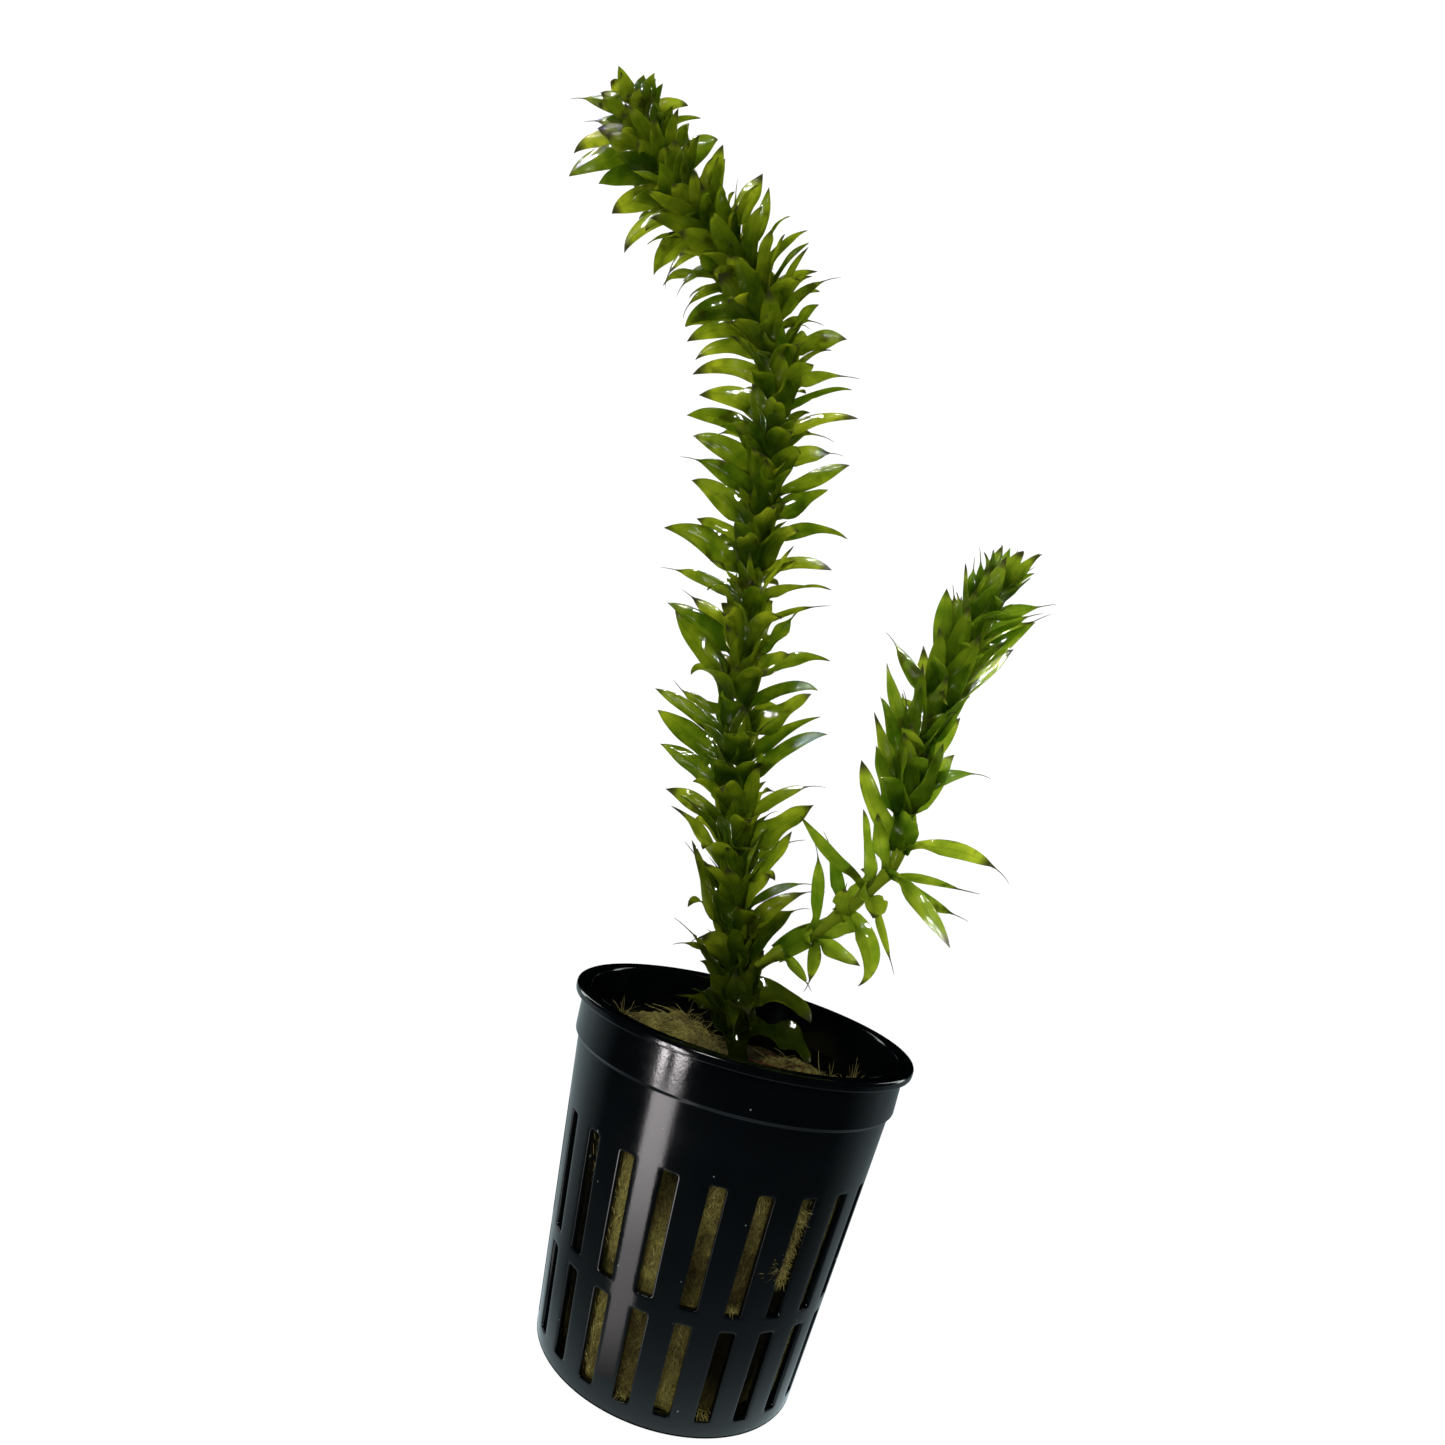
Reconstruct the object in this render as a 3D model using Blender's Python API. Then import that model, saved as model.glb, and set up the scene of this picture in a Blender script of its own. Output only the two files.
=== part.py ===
"""Potted anacharis: a leafy pond weed shoot with one side shoot, in a slotted black net pot of rock wool.

Metres, +Z up. The origin is the centre of the pot's base, +X is to the right as the plant is usually
seen and -Y is the front. The pot stands on its base.
"""
import math
import random

import bmesh
import bpy
from mathutils import Matrix, Quaternion, Vector

MM = 0.001

# Net pot, a thin moulded cup whose wall tapers from the lip to the base
POT_HEIGHT = 49.6 * MM
LIP_RADIUS = 26.0 * MM
LIP_DEPTH = 1.3 * MM
LIP_ROUND = 0.4 * MM
COLLAR_RADIUS = 24.7 * MM
STEP_HEIGHT = 42.3 * MM
STEP_RADIUS = 23.9 * MM
STEP_RISE = 0.5 * MM
BASE_RADIUS = 19.2 * MM
BASE_EDGE = 0.3 * MM
WALL = 1.0 * MM
FLOOR = 1.2 * MM

# Slots in the pot's wall, and holes in every second rib's line in its floor
SLOTS_AROUND = 22
SLOT_WIDTH = 2.3 * MM
LOWER_SLOT = (2.4 * MM, 14.6 * MM)
UPPER_SLOT = (16.7 * MM, 33.1 * MM)
FIRST_SLOT_TURN = math.radians(5.07)
FLOOR_HOLE = (8.0 * MM, 15.5 * MM)

# Rock wool plug
TOUCH_GAP = 0.3 * MM
WOOL_TOP = 40.3 * MM
WOOL_SHOULDER = 2.0 * MM
WOOL_FOOT_INSET = 0.7 * MM
WOOL_SIDES = 24
WOOL_RING_SHARES = (0.86, 0.68, 0.48, 0.28)
STEM_HOLE_GAP = 0.4 * MM
STEM_HOLE_EXTRA_DEPTH = 0.5 * MM
# Each lump on top of the wool: x, y, height above the plain top, half width
WOOL_LUMPS = (
    (-10.5 * MM, 7.5 * MM, 5.0 * MM, 4.6 * MM),
    (9.5 * MM, 8.0 * MM, 2.4 * MM, 3.8 * MM),
    (-18.5 * MM, 4.5 * MM, 2.2 * MM, 2.6 * MM),
    (18.5 * MM, 3.0 * MM, 2.4 * MM, 3.0 * MM),
    (8.0 * MM, -9.0 * MM, 2.0 * MM, 4.0 * MM),
    (-9.0 * MM, -9.5 * MM, 1.6 * MM, 4.0 * MM),
)

# Stems, as routes in millimetres from the cut or the fork to the growing tip
MAIN_ROUTE = (
    (1.2, 0.0, 20.0), (1.2, 0.0, 31.0), (1.0, 0.0, 40.7), (-1.1, 0.0, 48.6), (-4.8, 0.5, 63.1),
    (-9.4, 2.0, 80.9), (-13.0, 3.0, 96.4), (-15.5, 4.0, 112.8), (-17.2, 4.5, 129.1),
    (-18.5, 4.5, 141.1), (-20.5, 3.5, 152.0), (-26.0, 2.0, 161.4), (-33.5, 1.0, 169.1),
    (-41.1, 0.0, 174.2), (-47.2, -1.0, 179.6), (-51.6, -1.5, 185.4), (-54.3, -1.9, 189.0),
)
SIDE_ROUTE = (
    (-0.2, -2.1, 57.6), (2.7, -3.0, 60.7), (7.0, -4.0, 64.7), (12.8, -5.5, 72.3), (15.8, -6.5, 77.8),
    (15.6, -7.2, 83.5), (14.8, -8.0, 89.0), (15.4, -9.0, 97.5), (17.3, -10.5, 109.1),
    (19.6, -11.5, 117.5),
)
ROUTE_STEPS = 12
MAIN_RADIUS = 1.7 * MM
SIDE_RADIUS = 1.35 * MM
TIP_RADIUS = 0.7 * MM
THINNING_FROM = 0.6
NODE_BAND = 0.9 * MM
MAIN_FOOT_RINGS = (0.0, 12.0 * MM, 19.0 * MM)
BUD_LENGTH = 2.6 * MM
BUD_SINK = 0.8 * MM
BUD_SHARES = (0.8, 0.2)

# Leaves. Each section is a share of the length with the width there as a share of the leaf's width.
LEAF_THICKNESS = 0.42 * MM
LEAF_SECTIONS = ((0.34, 1.0), (0.70, 0.80))
LEAF_STEPS = 25
AZIMUTH_SPREAD = 6
FOOT_SPREAD = 3
TIP_SPREAD = 12
LENGTH_SPREAD = 0.08
WIDTH_SPREAD = 0.1

# Leaves that stand out, by whorl number: azimuth (0 front, 90 right), foot and tip angles from the
# stem, length and width in millimetres, and roll
MAIN_SPECIAL = {
    0: ((90, 70, 155, 13.0, 5.2, 20), (-90, 5, 90, 11.5, 2.8, 40)),
    1: ((80, 45, 145, 14.0, 5.5, 40), (0, 60, 165, 8.0, 1.8, 0), (-90, 12, 48, 16.5, 2.4, 50)),
    2: ((125, 20, 78, 17.5, 3.6, 40), (-90, 20, 95, 11.0, 2.2, 50)),
    3: ((90, 22, 85, 16.5, 2.8, 60), (-90, 26, 10, 17.5, 4.0, 60)),
    4: ((90, 35, 95, 13.5, 1.8, 50), (45, 30, 60, 10.0, 3.6, 60), (-90, 20, 40, 14.0, 2.8, 50)),
    5: ((60, 65, 25, 12.5, 2.8, 60), (-90, 22, 42, 16.0, 2.8, 50)),
    6: ((90, 45, 60, 14.0, 4.8, 65), (-90, 20, 50, 13.0, 2.4, 40)),
    7: ((90, 35, 85, 15.5, 2.4, 60), (-90, 45, 65, 12.0, 3.2, 60)),
    8: ((90, 25, 72, 18.0, 3.2, 60), (-90, 40, 55, 14.5, 3.6, 55)),
    9: ((90, 35, 70, 15.5, 3.2, 60), (-90, 42, 54, 15.5, 4.0, 65)),
    10: ((90, 50, 50, 13.5, 4.4, 65), (-90, 45, 60, 15.0, 2.8, 60)),
    11: ((90, 35, 95, 13.5, 3.0, 55), (-90, 80, 35, 11.0, 2.6, 50)),
    12: ((90, 40, 90, 15.0, 3.2, 60), (45, 50, 80, 11.0, 3.8, 60), (-90, 44, 34, 16.0, 3.8, 60)),
    13: ((90, 50, 20, 12.0, 3.8, 60), (-90, 40, 62, 15.0, 4.2, 65)),
    14: ((90, 45, 80, 14.0, 2.4, 50), (-90, 60, 46, 12.0, 2.6, 50)),
    15: ((90, 45, 90, 13.5, 2.8, 60), (45, 45, 35, 12.0, 3.4, 60), (-90, 50, 85, 15.5, 2.4, 50)),
    16: ((90, 40, 105, 13.0, 2.8, 60), (-90, 38, 85, 16.8, 4.8, 65)),
    17: ((90, 35, 105, 15.5, 4.0, 60), (-90, 50, 68, 10.5, 3.2, 60)),
    18: ((90, 45, 52, 12.0, 4.8, 65), (-90, 50, 62, 13.0, 4.4, 65)),
    19: ((90, 58, 50, 14.5, 3.6, 60), (-90, 48, 82, 15.0, 3.8, 60)),
    20: ((90, 40, 90, 12.5, 4.0, 60), (-90, 55, 75, 13.0, 4.2, 65)),
    21: ((80, 40, 90, 14.5, 3.2, 60), (125, 35, 95, 13.5, 2.2, 50), (-80, 45, 110, 14.5, 3.2, 60),
         (-125, 45, 100, 14.0, 2.2, 50)),
    22: ((90, 35, 85, 13.5, 2.8, 60), (-90, 40, 108, 13.0, 3.6, 60)),
    23: ((90, 50, 100, 13.5, 3.0, 60), (-90, 35, 120, 15.0, 3.0, 60), (-45, 38, 48, 12.0, 1.2, 0)),
    24: ((90, 45, 100, 12.0, 4.4, 65), (-90, 30, 120, 14.5, 2.8, 60)),
    25: ((80, 30, 95, 15.0, 3.0, 60), (125, 45, 110, 12.5, 2.4, 50), (-90, 40, 105, 14.0, 3.0, 60)),
    26: ((90, 40, 105, 11.0, 3.6, 60), (45, 30, 60, 12.0, 3.8, 60), (-90, 35, 115, 13.5, 3.8, 60)),
    27: ((90, 50, 88, 12.5, 2.8, 60), (-90, 40, 130, 13.5, 1.8, 50)),
    28: ((90, 68, 28, 13.5, 3.2, 60), (-90, 40, 125, 12.0, 1.6, 50), (-45, 60, 110, 9.0, 3.4, 60)),
    29: ((90, 62, 60, 12.5, 4.4, 65), (-90, 45, 130, 13.0, 2.0, 50)),
    30: ((90, 45, 60, 11.5, 3.8, 60), (-90, 60, 110, 12.0, 3.8, 65)),
    31: ((90, 75, 50, 11.5, 4.2, 65), (-90, 40, 110, 14.0, 2.6, 60)),
    32: ((90, 35, 100, 11.5, 4.4, 60), (-90, 45, 80, 11.5, 4.0, 60)),
    33: ((90, 40, 60, 9.0, 3.6, 60), (-90, 35, 82, 11.5, 3.6, 60)),
    34: ((90, 30, 50, 9.0, 3.4, 60), (-90, 35, 100, 15.5, 3.6, 60)),
    35: ((90, 50, 120, 9.5, 2.8, 60), (-90, 35, 95, 13.5, 2.6, 60)),
    36: ((90, 45, 115, 8.5, 3.6, 60), (-90, 40, 72, 10.0, 2.4, 60)),
    37: ((90, 30, 60, 6.5, 3.6, 60), (-90, 35, 65, 11.5, 2.4, 60), (0, 22, 12, 7.5, 3.2, 0)),
    38: ((90, 26, 45, 6.0, 3.4, 50), (-90, 28, 50, 8.0, 3.2, 50), (0, 22, 0, 7.0, 3.0, 0)),
}
SIDE_SPECIAL = {
    0: ((90, 60, 95, 7.0, 1.8, 50), (-90, 35, 55, 7.5, 2.2, 60)),
    1: ((90, 60, 56, 7.8, 2.6, 60), (40, 95, 130, 9.0, 2.0, 50), (-90, 40, 62, 14.0, 2.2, 60)),
    2: ((90, 62, 165, 12.0, 3.4, 60), (-90, 52, 62, 12.0, 2.4, 60), (-35, 50, 50, 8.0, 2.4, 60)),
    3: ((90, 116, 112, 12.0, 1.4, 40), (25, 80, 110, 6.0, 4.2, 30), (-75, 95, 75, 14.5, 2.6, 60),
        (-125, 50, 54, 12.5, 3.2, 60)),
    4: ((70, 85, 105, 13.0, 3.8, 60), (110, 95, 65, 14.5, 2.6, 60), (40, 60, 60, 16.0, 3.0, 40),
        (-90, 50, 40, 8.5, 3.2, 60)),
    5: ((90, 62, 118, 17.0, 3.4, 60), (-90, 48, 18, 14.0, 4.4, 60)),
    6: ((90, 28, 24, 12.5, 3.8, 60), (-90, 34, 18, 12.0, 3.6, 60)),
    7: ((90, 42, 95, 13.0, 2.6, 60), (-90, 30, 16, 13.5, 3.2, 60)),
    8: ((90, 34, 20, 11.0, 3.6, 55), (-90, 40, 30, 12.0, 3.4, 60)),
    9: ((90, 28, 24, 11.5, 3.8, 60), (-90, 52, 30, 13.5, 3.6, 60)),
    10: ((90, 32, 28, 12.5, 3.8, 60), (-90, 45, 30, 12.0, 3.4, 60)),
    11: ((90, 36, 32, 13.5, 3.8, 60), (-90, 66, 50, 12.5, 3.0, 60)),
    12: ((90, 38, 34, 15.0, 3.8, 60), (-90, 50, 30, 13.5, 3.6, 60)),
    13: ((90, 42, 38, 15.0, 3.4, 60), (-90, 42, 30, 9.5, 2.8, 60)),
    14: ((90, 40, 46, 11.5, 2.6, 60), (-90, 35, 30, 8.5, 2.4, 60)),
    15: ((90, 40, 52, 11.8, 2.6, 60), (-90, 50, 42, 9.8, 2.2, 60)),
    16: ((90, 24, 4, 11.0, 3.4, 40), (-90, 26, 6, 9.5, 3.0, 40), (0, 22, -6, 9.5, 2.4, 0)),
}
# Leaves missing at the fork, by whorl number
MAIN_GONE = {2: (0,)}
SIDE_GONE = {0: (3,)}
# Distances between the first whorls of the side shoot, where its stem shows
SIDE_BARE_STRETCHES = (5.6, 5.3, 5.2, 4.2, 3.8, 3.8)


def main_leaf(young):
    """Return the foot angle, tip angle, length and width of a main shoot leaf, in degrees and millimetres."""
    return 28 - 6 * young, 82 - 25 * young, 15.0 - 6.0 * young ** 1.4, 4.2 - 1.2 * young


def main_spacing(number, young):
    """Return the distance to the next whorl on the main shoot."""
    return (4.5 - 2.1 * young) * MM


def side_leaf(young):
    """Return the foot angle, tip angle, length and width of a side shoot leaf, in degrees and millimetres."""
    return 20 - 4 * young, 44 - 14 * young, 12.5 - 3.5 * young, 3.6 - 0.8 * young


def side_spacing(number, young):
    """Return the distance to the next whorl on the side shoot."""
    if number <= len(SIDE_BARE_STRETCHES):
        return SIDE_BARE_STRETCHES[number - 1] * MM
    return (3.6 - 1.2 * young) * MM


MAIN_SHOOT = {
    "name": "main_shoot", "route": MAIN_ROUTE, "radius": MAIN_RADIUS, "sides": 10,
    "foot_rings": MAIN_FOOT_RINGS, "first": 26.0 * MM, "tip_gap": 0.8 * MM, "young_from": 0.78,
    "turn": math.radians(18), "twist": math.radians(11), "roll": 45, "seed": 5,
    "leaf": main_leaf, "spacing": main_spacing, "special": MAIN_SPECIAL, "gone": MAIN_GONE,
}
SIDE_SHOOT = {
    "name": "side_shoot", "route": SIDE_ROUTE, "radius": SIDE_RADIUS, "sides": 8, "foot_rings": (0.0,),
    "first": 4.0 * MM, "tip_gap": 1.6 * MM, "young_from": 0.72, "turn": 0.0,
    "twist": math.radians(9), "roll": 25, "seed": 9, "leaf": side_leaf, "spacing": side_spacing,
    "special": SIDE_SPECIAL, "gone": SIDE_GONE,
}


def finish_mesh(name, mesh):
    """Turn a bmesh into a named object whose faces point outwards."""
    bmesh.ops.recalc_face_normals(mesh, faces=mesh.faces)
    data = bpy.data.meshes.new(name)
    mesh.to_mesh(data)
    mesh.free()
    piece = bpy.data.objects.new(name, data)
    bpy.context.collection.objects.link(piece)
    return piece


def join_loops(mesh, low, high):
    """Join two rings of corners with one face for each side."""
    for side in range(len(low)):
        after = (side + 1) % len(low)
        mesh.faces.new((low[side], low[after], high[after], high[side]))


def wall_radius(height):
    """Return the radius of the pot's tapered outer wall at a height below the step."""
    return BASE_RADIUS + (STEP_RADIUS - BASE_RADIUS) * height / STEP_HEIGHT


def pot_profile():
    """Return the shell as outer points, inner points and what opens each band, and the lip's points."""
    wall = [
        ((FLOOR_HOLE[0], 0.0), (FLOOR_HOLE[0], FLOOR), "floor hole"),
        ((FLOOR_HOLE[1], 0.0), (FLOOR_HOLE[1], FLOOR), None),
        ((BASE_RADIUS - BASE_EDGE, 0.0), (BASE_RADIUS - WALL - BASE_EDGE, FLOOR), None),
        ((BASE_RADIUS, BASE_EDGE), (BASE_RADIUS - WALL, FLOOR + BASE_EDGE), None),
    ]
    for low, high in (LOWER_SLOT, UPPER_SLOT):
        wall.append(((wall_radius(low), low), (wall_radius(low) - WALL, low), "slot"))
        wall.append(((wall_radius(high), high), (wall_radius(high) - WALL, high), None))
    above_step = STEP_HEIGHT + STEP_RISE
    lip_bottom = POT_HEIGHT - LIP_DEPTH
    wall += [
        ((STEP_RADIUS, STEP_HEIGHT), (STEP_RADIUS - WALL, STEP_HEIGHT), None),
        ((COLLAR_RADIUS - LIP_ROUND / 2, above_step), (STEP_RADIUS - WALL, above_step), None),
        ((COLLAR_RADIUS, lip_bottom), (COLLAR_RADIUS - WALL, lip_bottom), None),
    ]
    lip = (
        (LIP_RADIUS - LIP_ROUND, lip_bottom), (LIP_RADIUS, lip_bottom + LIP_ROUND),
        (LIP_RADIUS, POT_HEIGHT - LIP_ROUND), (LIP_RADIUS - LIP_ROUND, POT_HEIGHT),
        (COLLAR_RADIUS - WALL + LIP_ROUND, POT_HEIGHT), (COLLAR_RADIUS - WALL, POT_HEIGHT - LIP_ROUND),
    )
    return wall, lip


def pot_ring(mesh, point):
    """Add a ring of corners at a profile point, two for each slot's sides."""
    radius, height = point
    half_slot = math.asin(SLOT_WIDTH / 2 / max(radius, BASE_RADIUS))
    ring = []
    for slot in range(SLOTS_AROUND):
        middle = FIRST_SLOT_TURN + math.tau * slot / SLOTS_AROUND
        for angle in (middle - half_slot, middle + half_slot):
            ring.append(mesh.verts.new((radius * math.sin(angle), -radius * math.cos(angle), height)))
    return ring


def make_pot():
    """Build the net pot: slot and rib columns by turns, open at the slots and at the floor's holes."""
    wall, lip = pot_profile()
    mesh = bmesh.new()
    outer = [pot_ring(mesh, point) for point, _, _ in wall]
    inner = [pot_ring(mesh, point) for _, point, _ in wall]
    columns = len(outer[0])
    for band in range(len(wall) - 1):
        opening = wall[band][2]
        for column in range(columns):
            after = (column + 1) % columns
            outside, inside = (
                (shell[band][column], shell[band][after], shell[band + 1][after], shell[band + 1][column])
                for shell in (outer, inner)
            )
            is_slot = opening == "slot" and column % 2 == 0
            is_floor_hole = opening == "floor hole" and column % 4 == 1
            if is_slot or is_floor_hole:
                join_loops(mesh, outside, inside)
            else:
                mesh.faces.new(outside)
                mesh.faces.new(inside)
    edge = [outer[-1], *(pot_ring(mesh, point) for point in lip), inner[-1]]
    for low, high in zip(edge, edge[1:]):
        join_loops(mesh, low, high)
    mesh.faces.new(outer[0])
    mesh.faces.new(inner[0])
    return finish_mesh("net_pot", mesh)


def wool_height(x, y):
    """Return the height of the wool's lumpy top at a point."""
    height = WOOL_TOP
    for lump_x, lump_y, rise, half_width in WOOL_LUMPS:
        square = (x - lump_x) ** 2 + (y - lump_y) ** 2
        height += rise * math.exp(-square / (2 * half_width ** 2))
    return height


def wool_ring(mesh, radius, centre_x, height=None):
    """Add a ring of corners of the wool, on its lumpy top where no height is given."""
    ring = []
    for side in range(WOOL_SIDES):
        angle = math.tau * side / WOOL_SIDES
        x = centre_x + radius * math.cos(angle)
        y = radius * math.sin(angle)
        ring.append(mesh.verts.new((x, y, wool_height(x, y) if height is None else height)))
    return ring


def make_wool():
    """Build the plug of rock wool, with a lumpy top and the hole that holds the stem."""
    stem_x, _, stem_bottom = (value * MM for value in MAIN_ROUTE[0])
    hole_radius = MAIN_RADIUS + STEM_HOLE_GAP
    shoulder = WOOL_TOP - WOOL_SHOULDER
    edge_radius = wall_radius(shoulder) - WALL - TOUCH_GAP
    mesh = bmesh.new()
    rings = [
        wool_ring(mesh, BASE_RADIUS - WALL - WOOL_FOOT_INSET, 0.0, FLOOR + TOUCH_GAP),
        wool_ring(mesh, edge_radius, 0.0, shoulder),
    ]
    rings += [wool_ring(mesh, edge_radius * share, stem_x * (1 - share)) for share in WOOL_RING_SHARES]
    rings += [
        wool_ring(mesh, hole_radius, stem_x, WOOL_TOP),
        wool_ring(mesh, hole_radius, stem_x, stem_bottom - STEM_HOLE_EXTRA_DEPTH),
    ]
    for low, high in zip(rings, rings[1:]):
        join_loops(mesh, low, high)
    mesh.faces.new(rings[0])
    mesh.faces.new(rings[-1])
    return finish_mesh("rock_wool", mesh)


def smooth_route(points):
    """Return points in metres on a Catmull-Rom curve through a route's points."""
    points = [Vector(point) * MM for point in points]
    ends = [points[0] * 2 - points[1], *points, points[-1] * 2 - points[-2]]
    route = []
    for a, b, c, d in zip(ends, ends[1:], ends[2:], ends[3:]):
        for step in range(ROUTE_STEPS):
            t = step / ROUTE_STEPS
            curve = 2 * b + (c - a) * t + (2 * a - 5 * b + 4 * c - d) * t ** 2
            route.append(0.5 * (curve + (3 * b - a - 3 * c + d) * t ** 3))
    route.append(points[-1])
    return route


def route_length(route):
    """Return the whole length along a route."""
    return sum((b - a).length for a, b in zip(route, route[1:]))


def frame_at(route, distance):
    """Return the point, direction, front and right of a stem at a distance along its route."""
    for a, b in zip(route, route[1:]):
        step = (b - a).length
        if distance <= step:
            break
        distance -= step
    along = (b - a).normalized()
    front = (Vector((0, -1, 0)) + along * along.y).normalized()
    return a + along * distance, along, front, along.cross(front)


def turn_between(a, b):
    """Return the size of the turn between two angles."""
    return abs((a - b + math.pi) % math.tau - math.pi)


def whorl_leaves(shoot, number, turn, young, spread):
    """Return one whorl's leaves by stem side, spread by chance, with those that stand out put among them."""
    sides = shoot["sides"]
    leaves = []
    for k in range(sides // 2):
        side = (2 * k + number % 2) % sides
        foot, tip, length, width = shoot["leaf"](young)
        leaves.append({
            "side": side,
            "azimuth": turn + math.tau * side / sides
            + math.radians(spread.uniform(-AZIMUTH_SPREAD, AZIMUTH_SPREAD)),
            "foot": foot + spread.uniform(-FOOT_SPREAD, FOOT_SPREAD),
            "tip": tip + spread.uniform(-TIP_SPREAD, TIP_SPREAD),
            "length": length * spread.uniform(1 - LENGTH_SPREAD, 1 + LENGTH_SPREAD) * MM,
            "width": width * spread.uniform(1 - WIDTH_SPREAD, 1 + WIDTH_SPREAD) * MM,
            "roll": math.radians(spread.uniform(-shoot["roll"], shoot["roll"])),
        })
    plain = list(leaves)
    for degrees, foot, tip, length, width, roll in shoot["special"].get(number, ()):
        azimuth = math.radians(degrees)
        nearest = min(plain, key=lambda leaf: turn_between(leaf["azimuth"], azimuth))
        plain.remove(nearest)
        side = round((azimuth - turn) * sides / math.tau) % sides
        nearest.update(side=side, azimuth=azimuth, foot=foot, tip=tip, length=length * MM, width=width * MM,
                       roll=math.radians(roll))
    gone = shoot["gone"].get(number, ())
    return {leaf["side"]: leaf for k, leaf in enumerate(leaves) if k not in gone}


def make_whorls(shoot, total):
    """Return a shoot's whorls from its foot to its tip: place along the stem, turn and leaves."""
    spread = random.Random(shoot["seed"])
    whorls = []
    at = shoot["first"]
    while at < total - shoot["tip_gap"]:
        number = len(whorls)
        young = max(0.0, (at / total - shoot["young_from"]) / (1 - shoot["young_from"]))
        turn = shoot["turn"] + shoot["twist"] * number
        whorls.append({"at": at, "turn": turn, "leaves": whorl_leaves(shoot, number, turn, young, spread)})
        at += shoot["spacing"](number + 1, young)
    return whorls


def leaf_midrib(root, along, outward, leaf):
    """Return points and directions along a midrib that bends evenly from the foot angle to the tip angle."""
    points = [root]
    directions = []
    for step in range(LEAF_STEPS):
        angle = math.radians(leaf["foot"] + (leaf["tip"] - leaf["foot"]) * (step + 0.5) / LEAF_STEPS)
        directions.append(along * math.cos(angle) + outward * math.sin(angle))
        points.append(points[-1] + directions[-1] * leaf["length"] / LEAF_STEPS)
    return points, directions


def join_rings(mesh, low, high):
    """Join two rings along a leaf by the sides of their convex hull, which a twist can't fold over."""
    hull = bmesh.ops.convex_hull(mesh, input=[*low, *high])
    ends = []
    for face in hull["geom"]:
        if not isinstance(face, bmesh.types.BMFace):
            continue
        if set(face.verts) <= set(low) or set(face.verts) <= set(high):
            ends.append(face)
    bmesh.ops.delete(mesh, geom=ends, context="FACES")


def add_leaf(mesh, corners, along, outward, leaf):
    """Grow a leaf out of the four corners of a stem face: two edges and a keel, drawn out to a point."""
    root = sum((corner.co for corner in corners), Vector()) / len(corners)
    points, directions = leaf_midrib(root, along, outward, leaf)
    across = along.cross(outward).normalized()
    rings = [corners]
    for share, width in LEAF_SECTIONS:
        step = round(share * LEAF_STEPS)
        blade = Quaternion(directions[step], leaf["roll"]) @ across
        up = directions[step].cross(blade) * LEAF_THICKNESS / 2
        half = blade * leaf["width"] * width / 2
        places = (points[step] - half + up, points[step] + half + up, points[step] - up)
        rings.append([mesh.verts.new(place) for place in places])
    rings.append([mesh.verts.new(points[-1])])
    for low, high in zip(rings, rings[1:]):
        join_rings(mesh, low, high)


def stem_ring(mesh, route, distance, radius, sides, turn):
    """Add a ring of corners around a stem, with a face's middle on the turn angle."""
    point, _, front, right = frame_at(route, distance)
    ring = []
    for side in range(sides):
        angle = turn + math.tau * (side - 0.5) / sides
        ring.append(mesh.verts.new(point + (front * math.cos(angle) + right * math.sin(angle)) * radius))
    return ring


def join_bud(piece, route, last_whorl):
    """Join the growing bud to a shoot's end, and join leaves of the shoot that touch each other."""
    point, along, _, _ = frame_at(route, last_whorl)
    centre = point + along * (BUD_LENGTH / 2 - BUD_SINK)
    place = Matrix.Translation(centre) @ along.to_track_quat("Z", "Y").to_matrix().to_4x4()
    bud = bmesh.new()
    bmesh.ops.create_cone(bud, cap_ends=True, segments=6, radius1=TIP_RADIUS * BUD_SHARES[0],
                          radius2=TIP_RADIUS * BUD_SHARES[1], depth=BUD_LENGTH, matrix=place)
    guide = finish_mesh(piece.name + "_bud", bud)
    guide.hide_render = True
    guide.display_type = "WIRE"
    union = piece.modifiers.new("bud", "BOOLEAN")
    union.operation = "UNION"
    union.object = guide
    union.use_self = True


def make_shoot(shoot):
    """Build a stem and its whorls of leaves as one closed piece, each leaf grown from a face of the stem."""
    route = smooth_route(shoot["route"])
    total = route_length(route)
    whorls = make_whorls(shoot, total)
    sides = shoot["sides"]
    mesh = bmesh.new()
    bands = []
    for distance in shoot["foot_rings"]:
        bands.append((stem_ring(mesh, route, distance, shoot["radius"], sides, shoot["turn"]), None))
    for whorl in whorls:
        thinning = max(0.0, (whorl["at"] / total - THINNING_FROM) / (1 - THINNING_FROM))
        radius = shoot["radius"] + (TIP_RADIUS - shoot["radius"]) * thinning
        half = NODE_BAND * radius / shoot["radius"] / 2
        bands.append((stem_ring(mesh, route, whorl["at"] - half, radius, sides, whorl["turn"]), whorl))
        bands.append((stem_ring(mesh, route, whorl["at"] + half, radius, sides, whorl["turn"]), None))
    for (low, whorl), (high, _) in zip(bands, bands[1:]):
        if whorl is None:
            join_loops(mesh, low, high)
            continue
        _, along, front, right = frame_at(route, whorl["at"])
        for side in range(sides):
            after = (side + 1) % sides
            corners = (low[side], low[after], high[after], high[side])
            leaf = whorl["leaves"].get(side)
            if leaf is None:
                mesh.faces.new(corners)
                continue
            outward = front * math.cos(leaf["azimuth"]) + right * math.sin(leaf["azimuth"])
            add_leaf(mesh, corners, along, outward, leaf)
    mesh.faces.new(bands[0][0])
    mesh.faces.new(bands[-1][0])
    piece = finish_mesh(shoot["name"], mesh)
    join_bud(piece, route, whorls[-1]["at"])
    return piece


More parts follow.
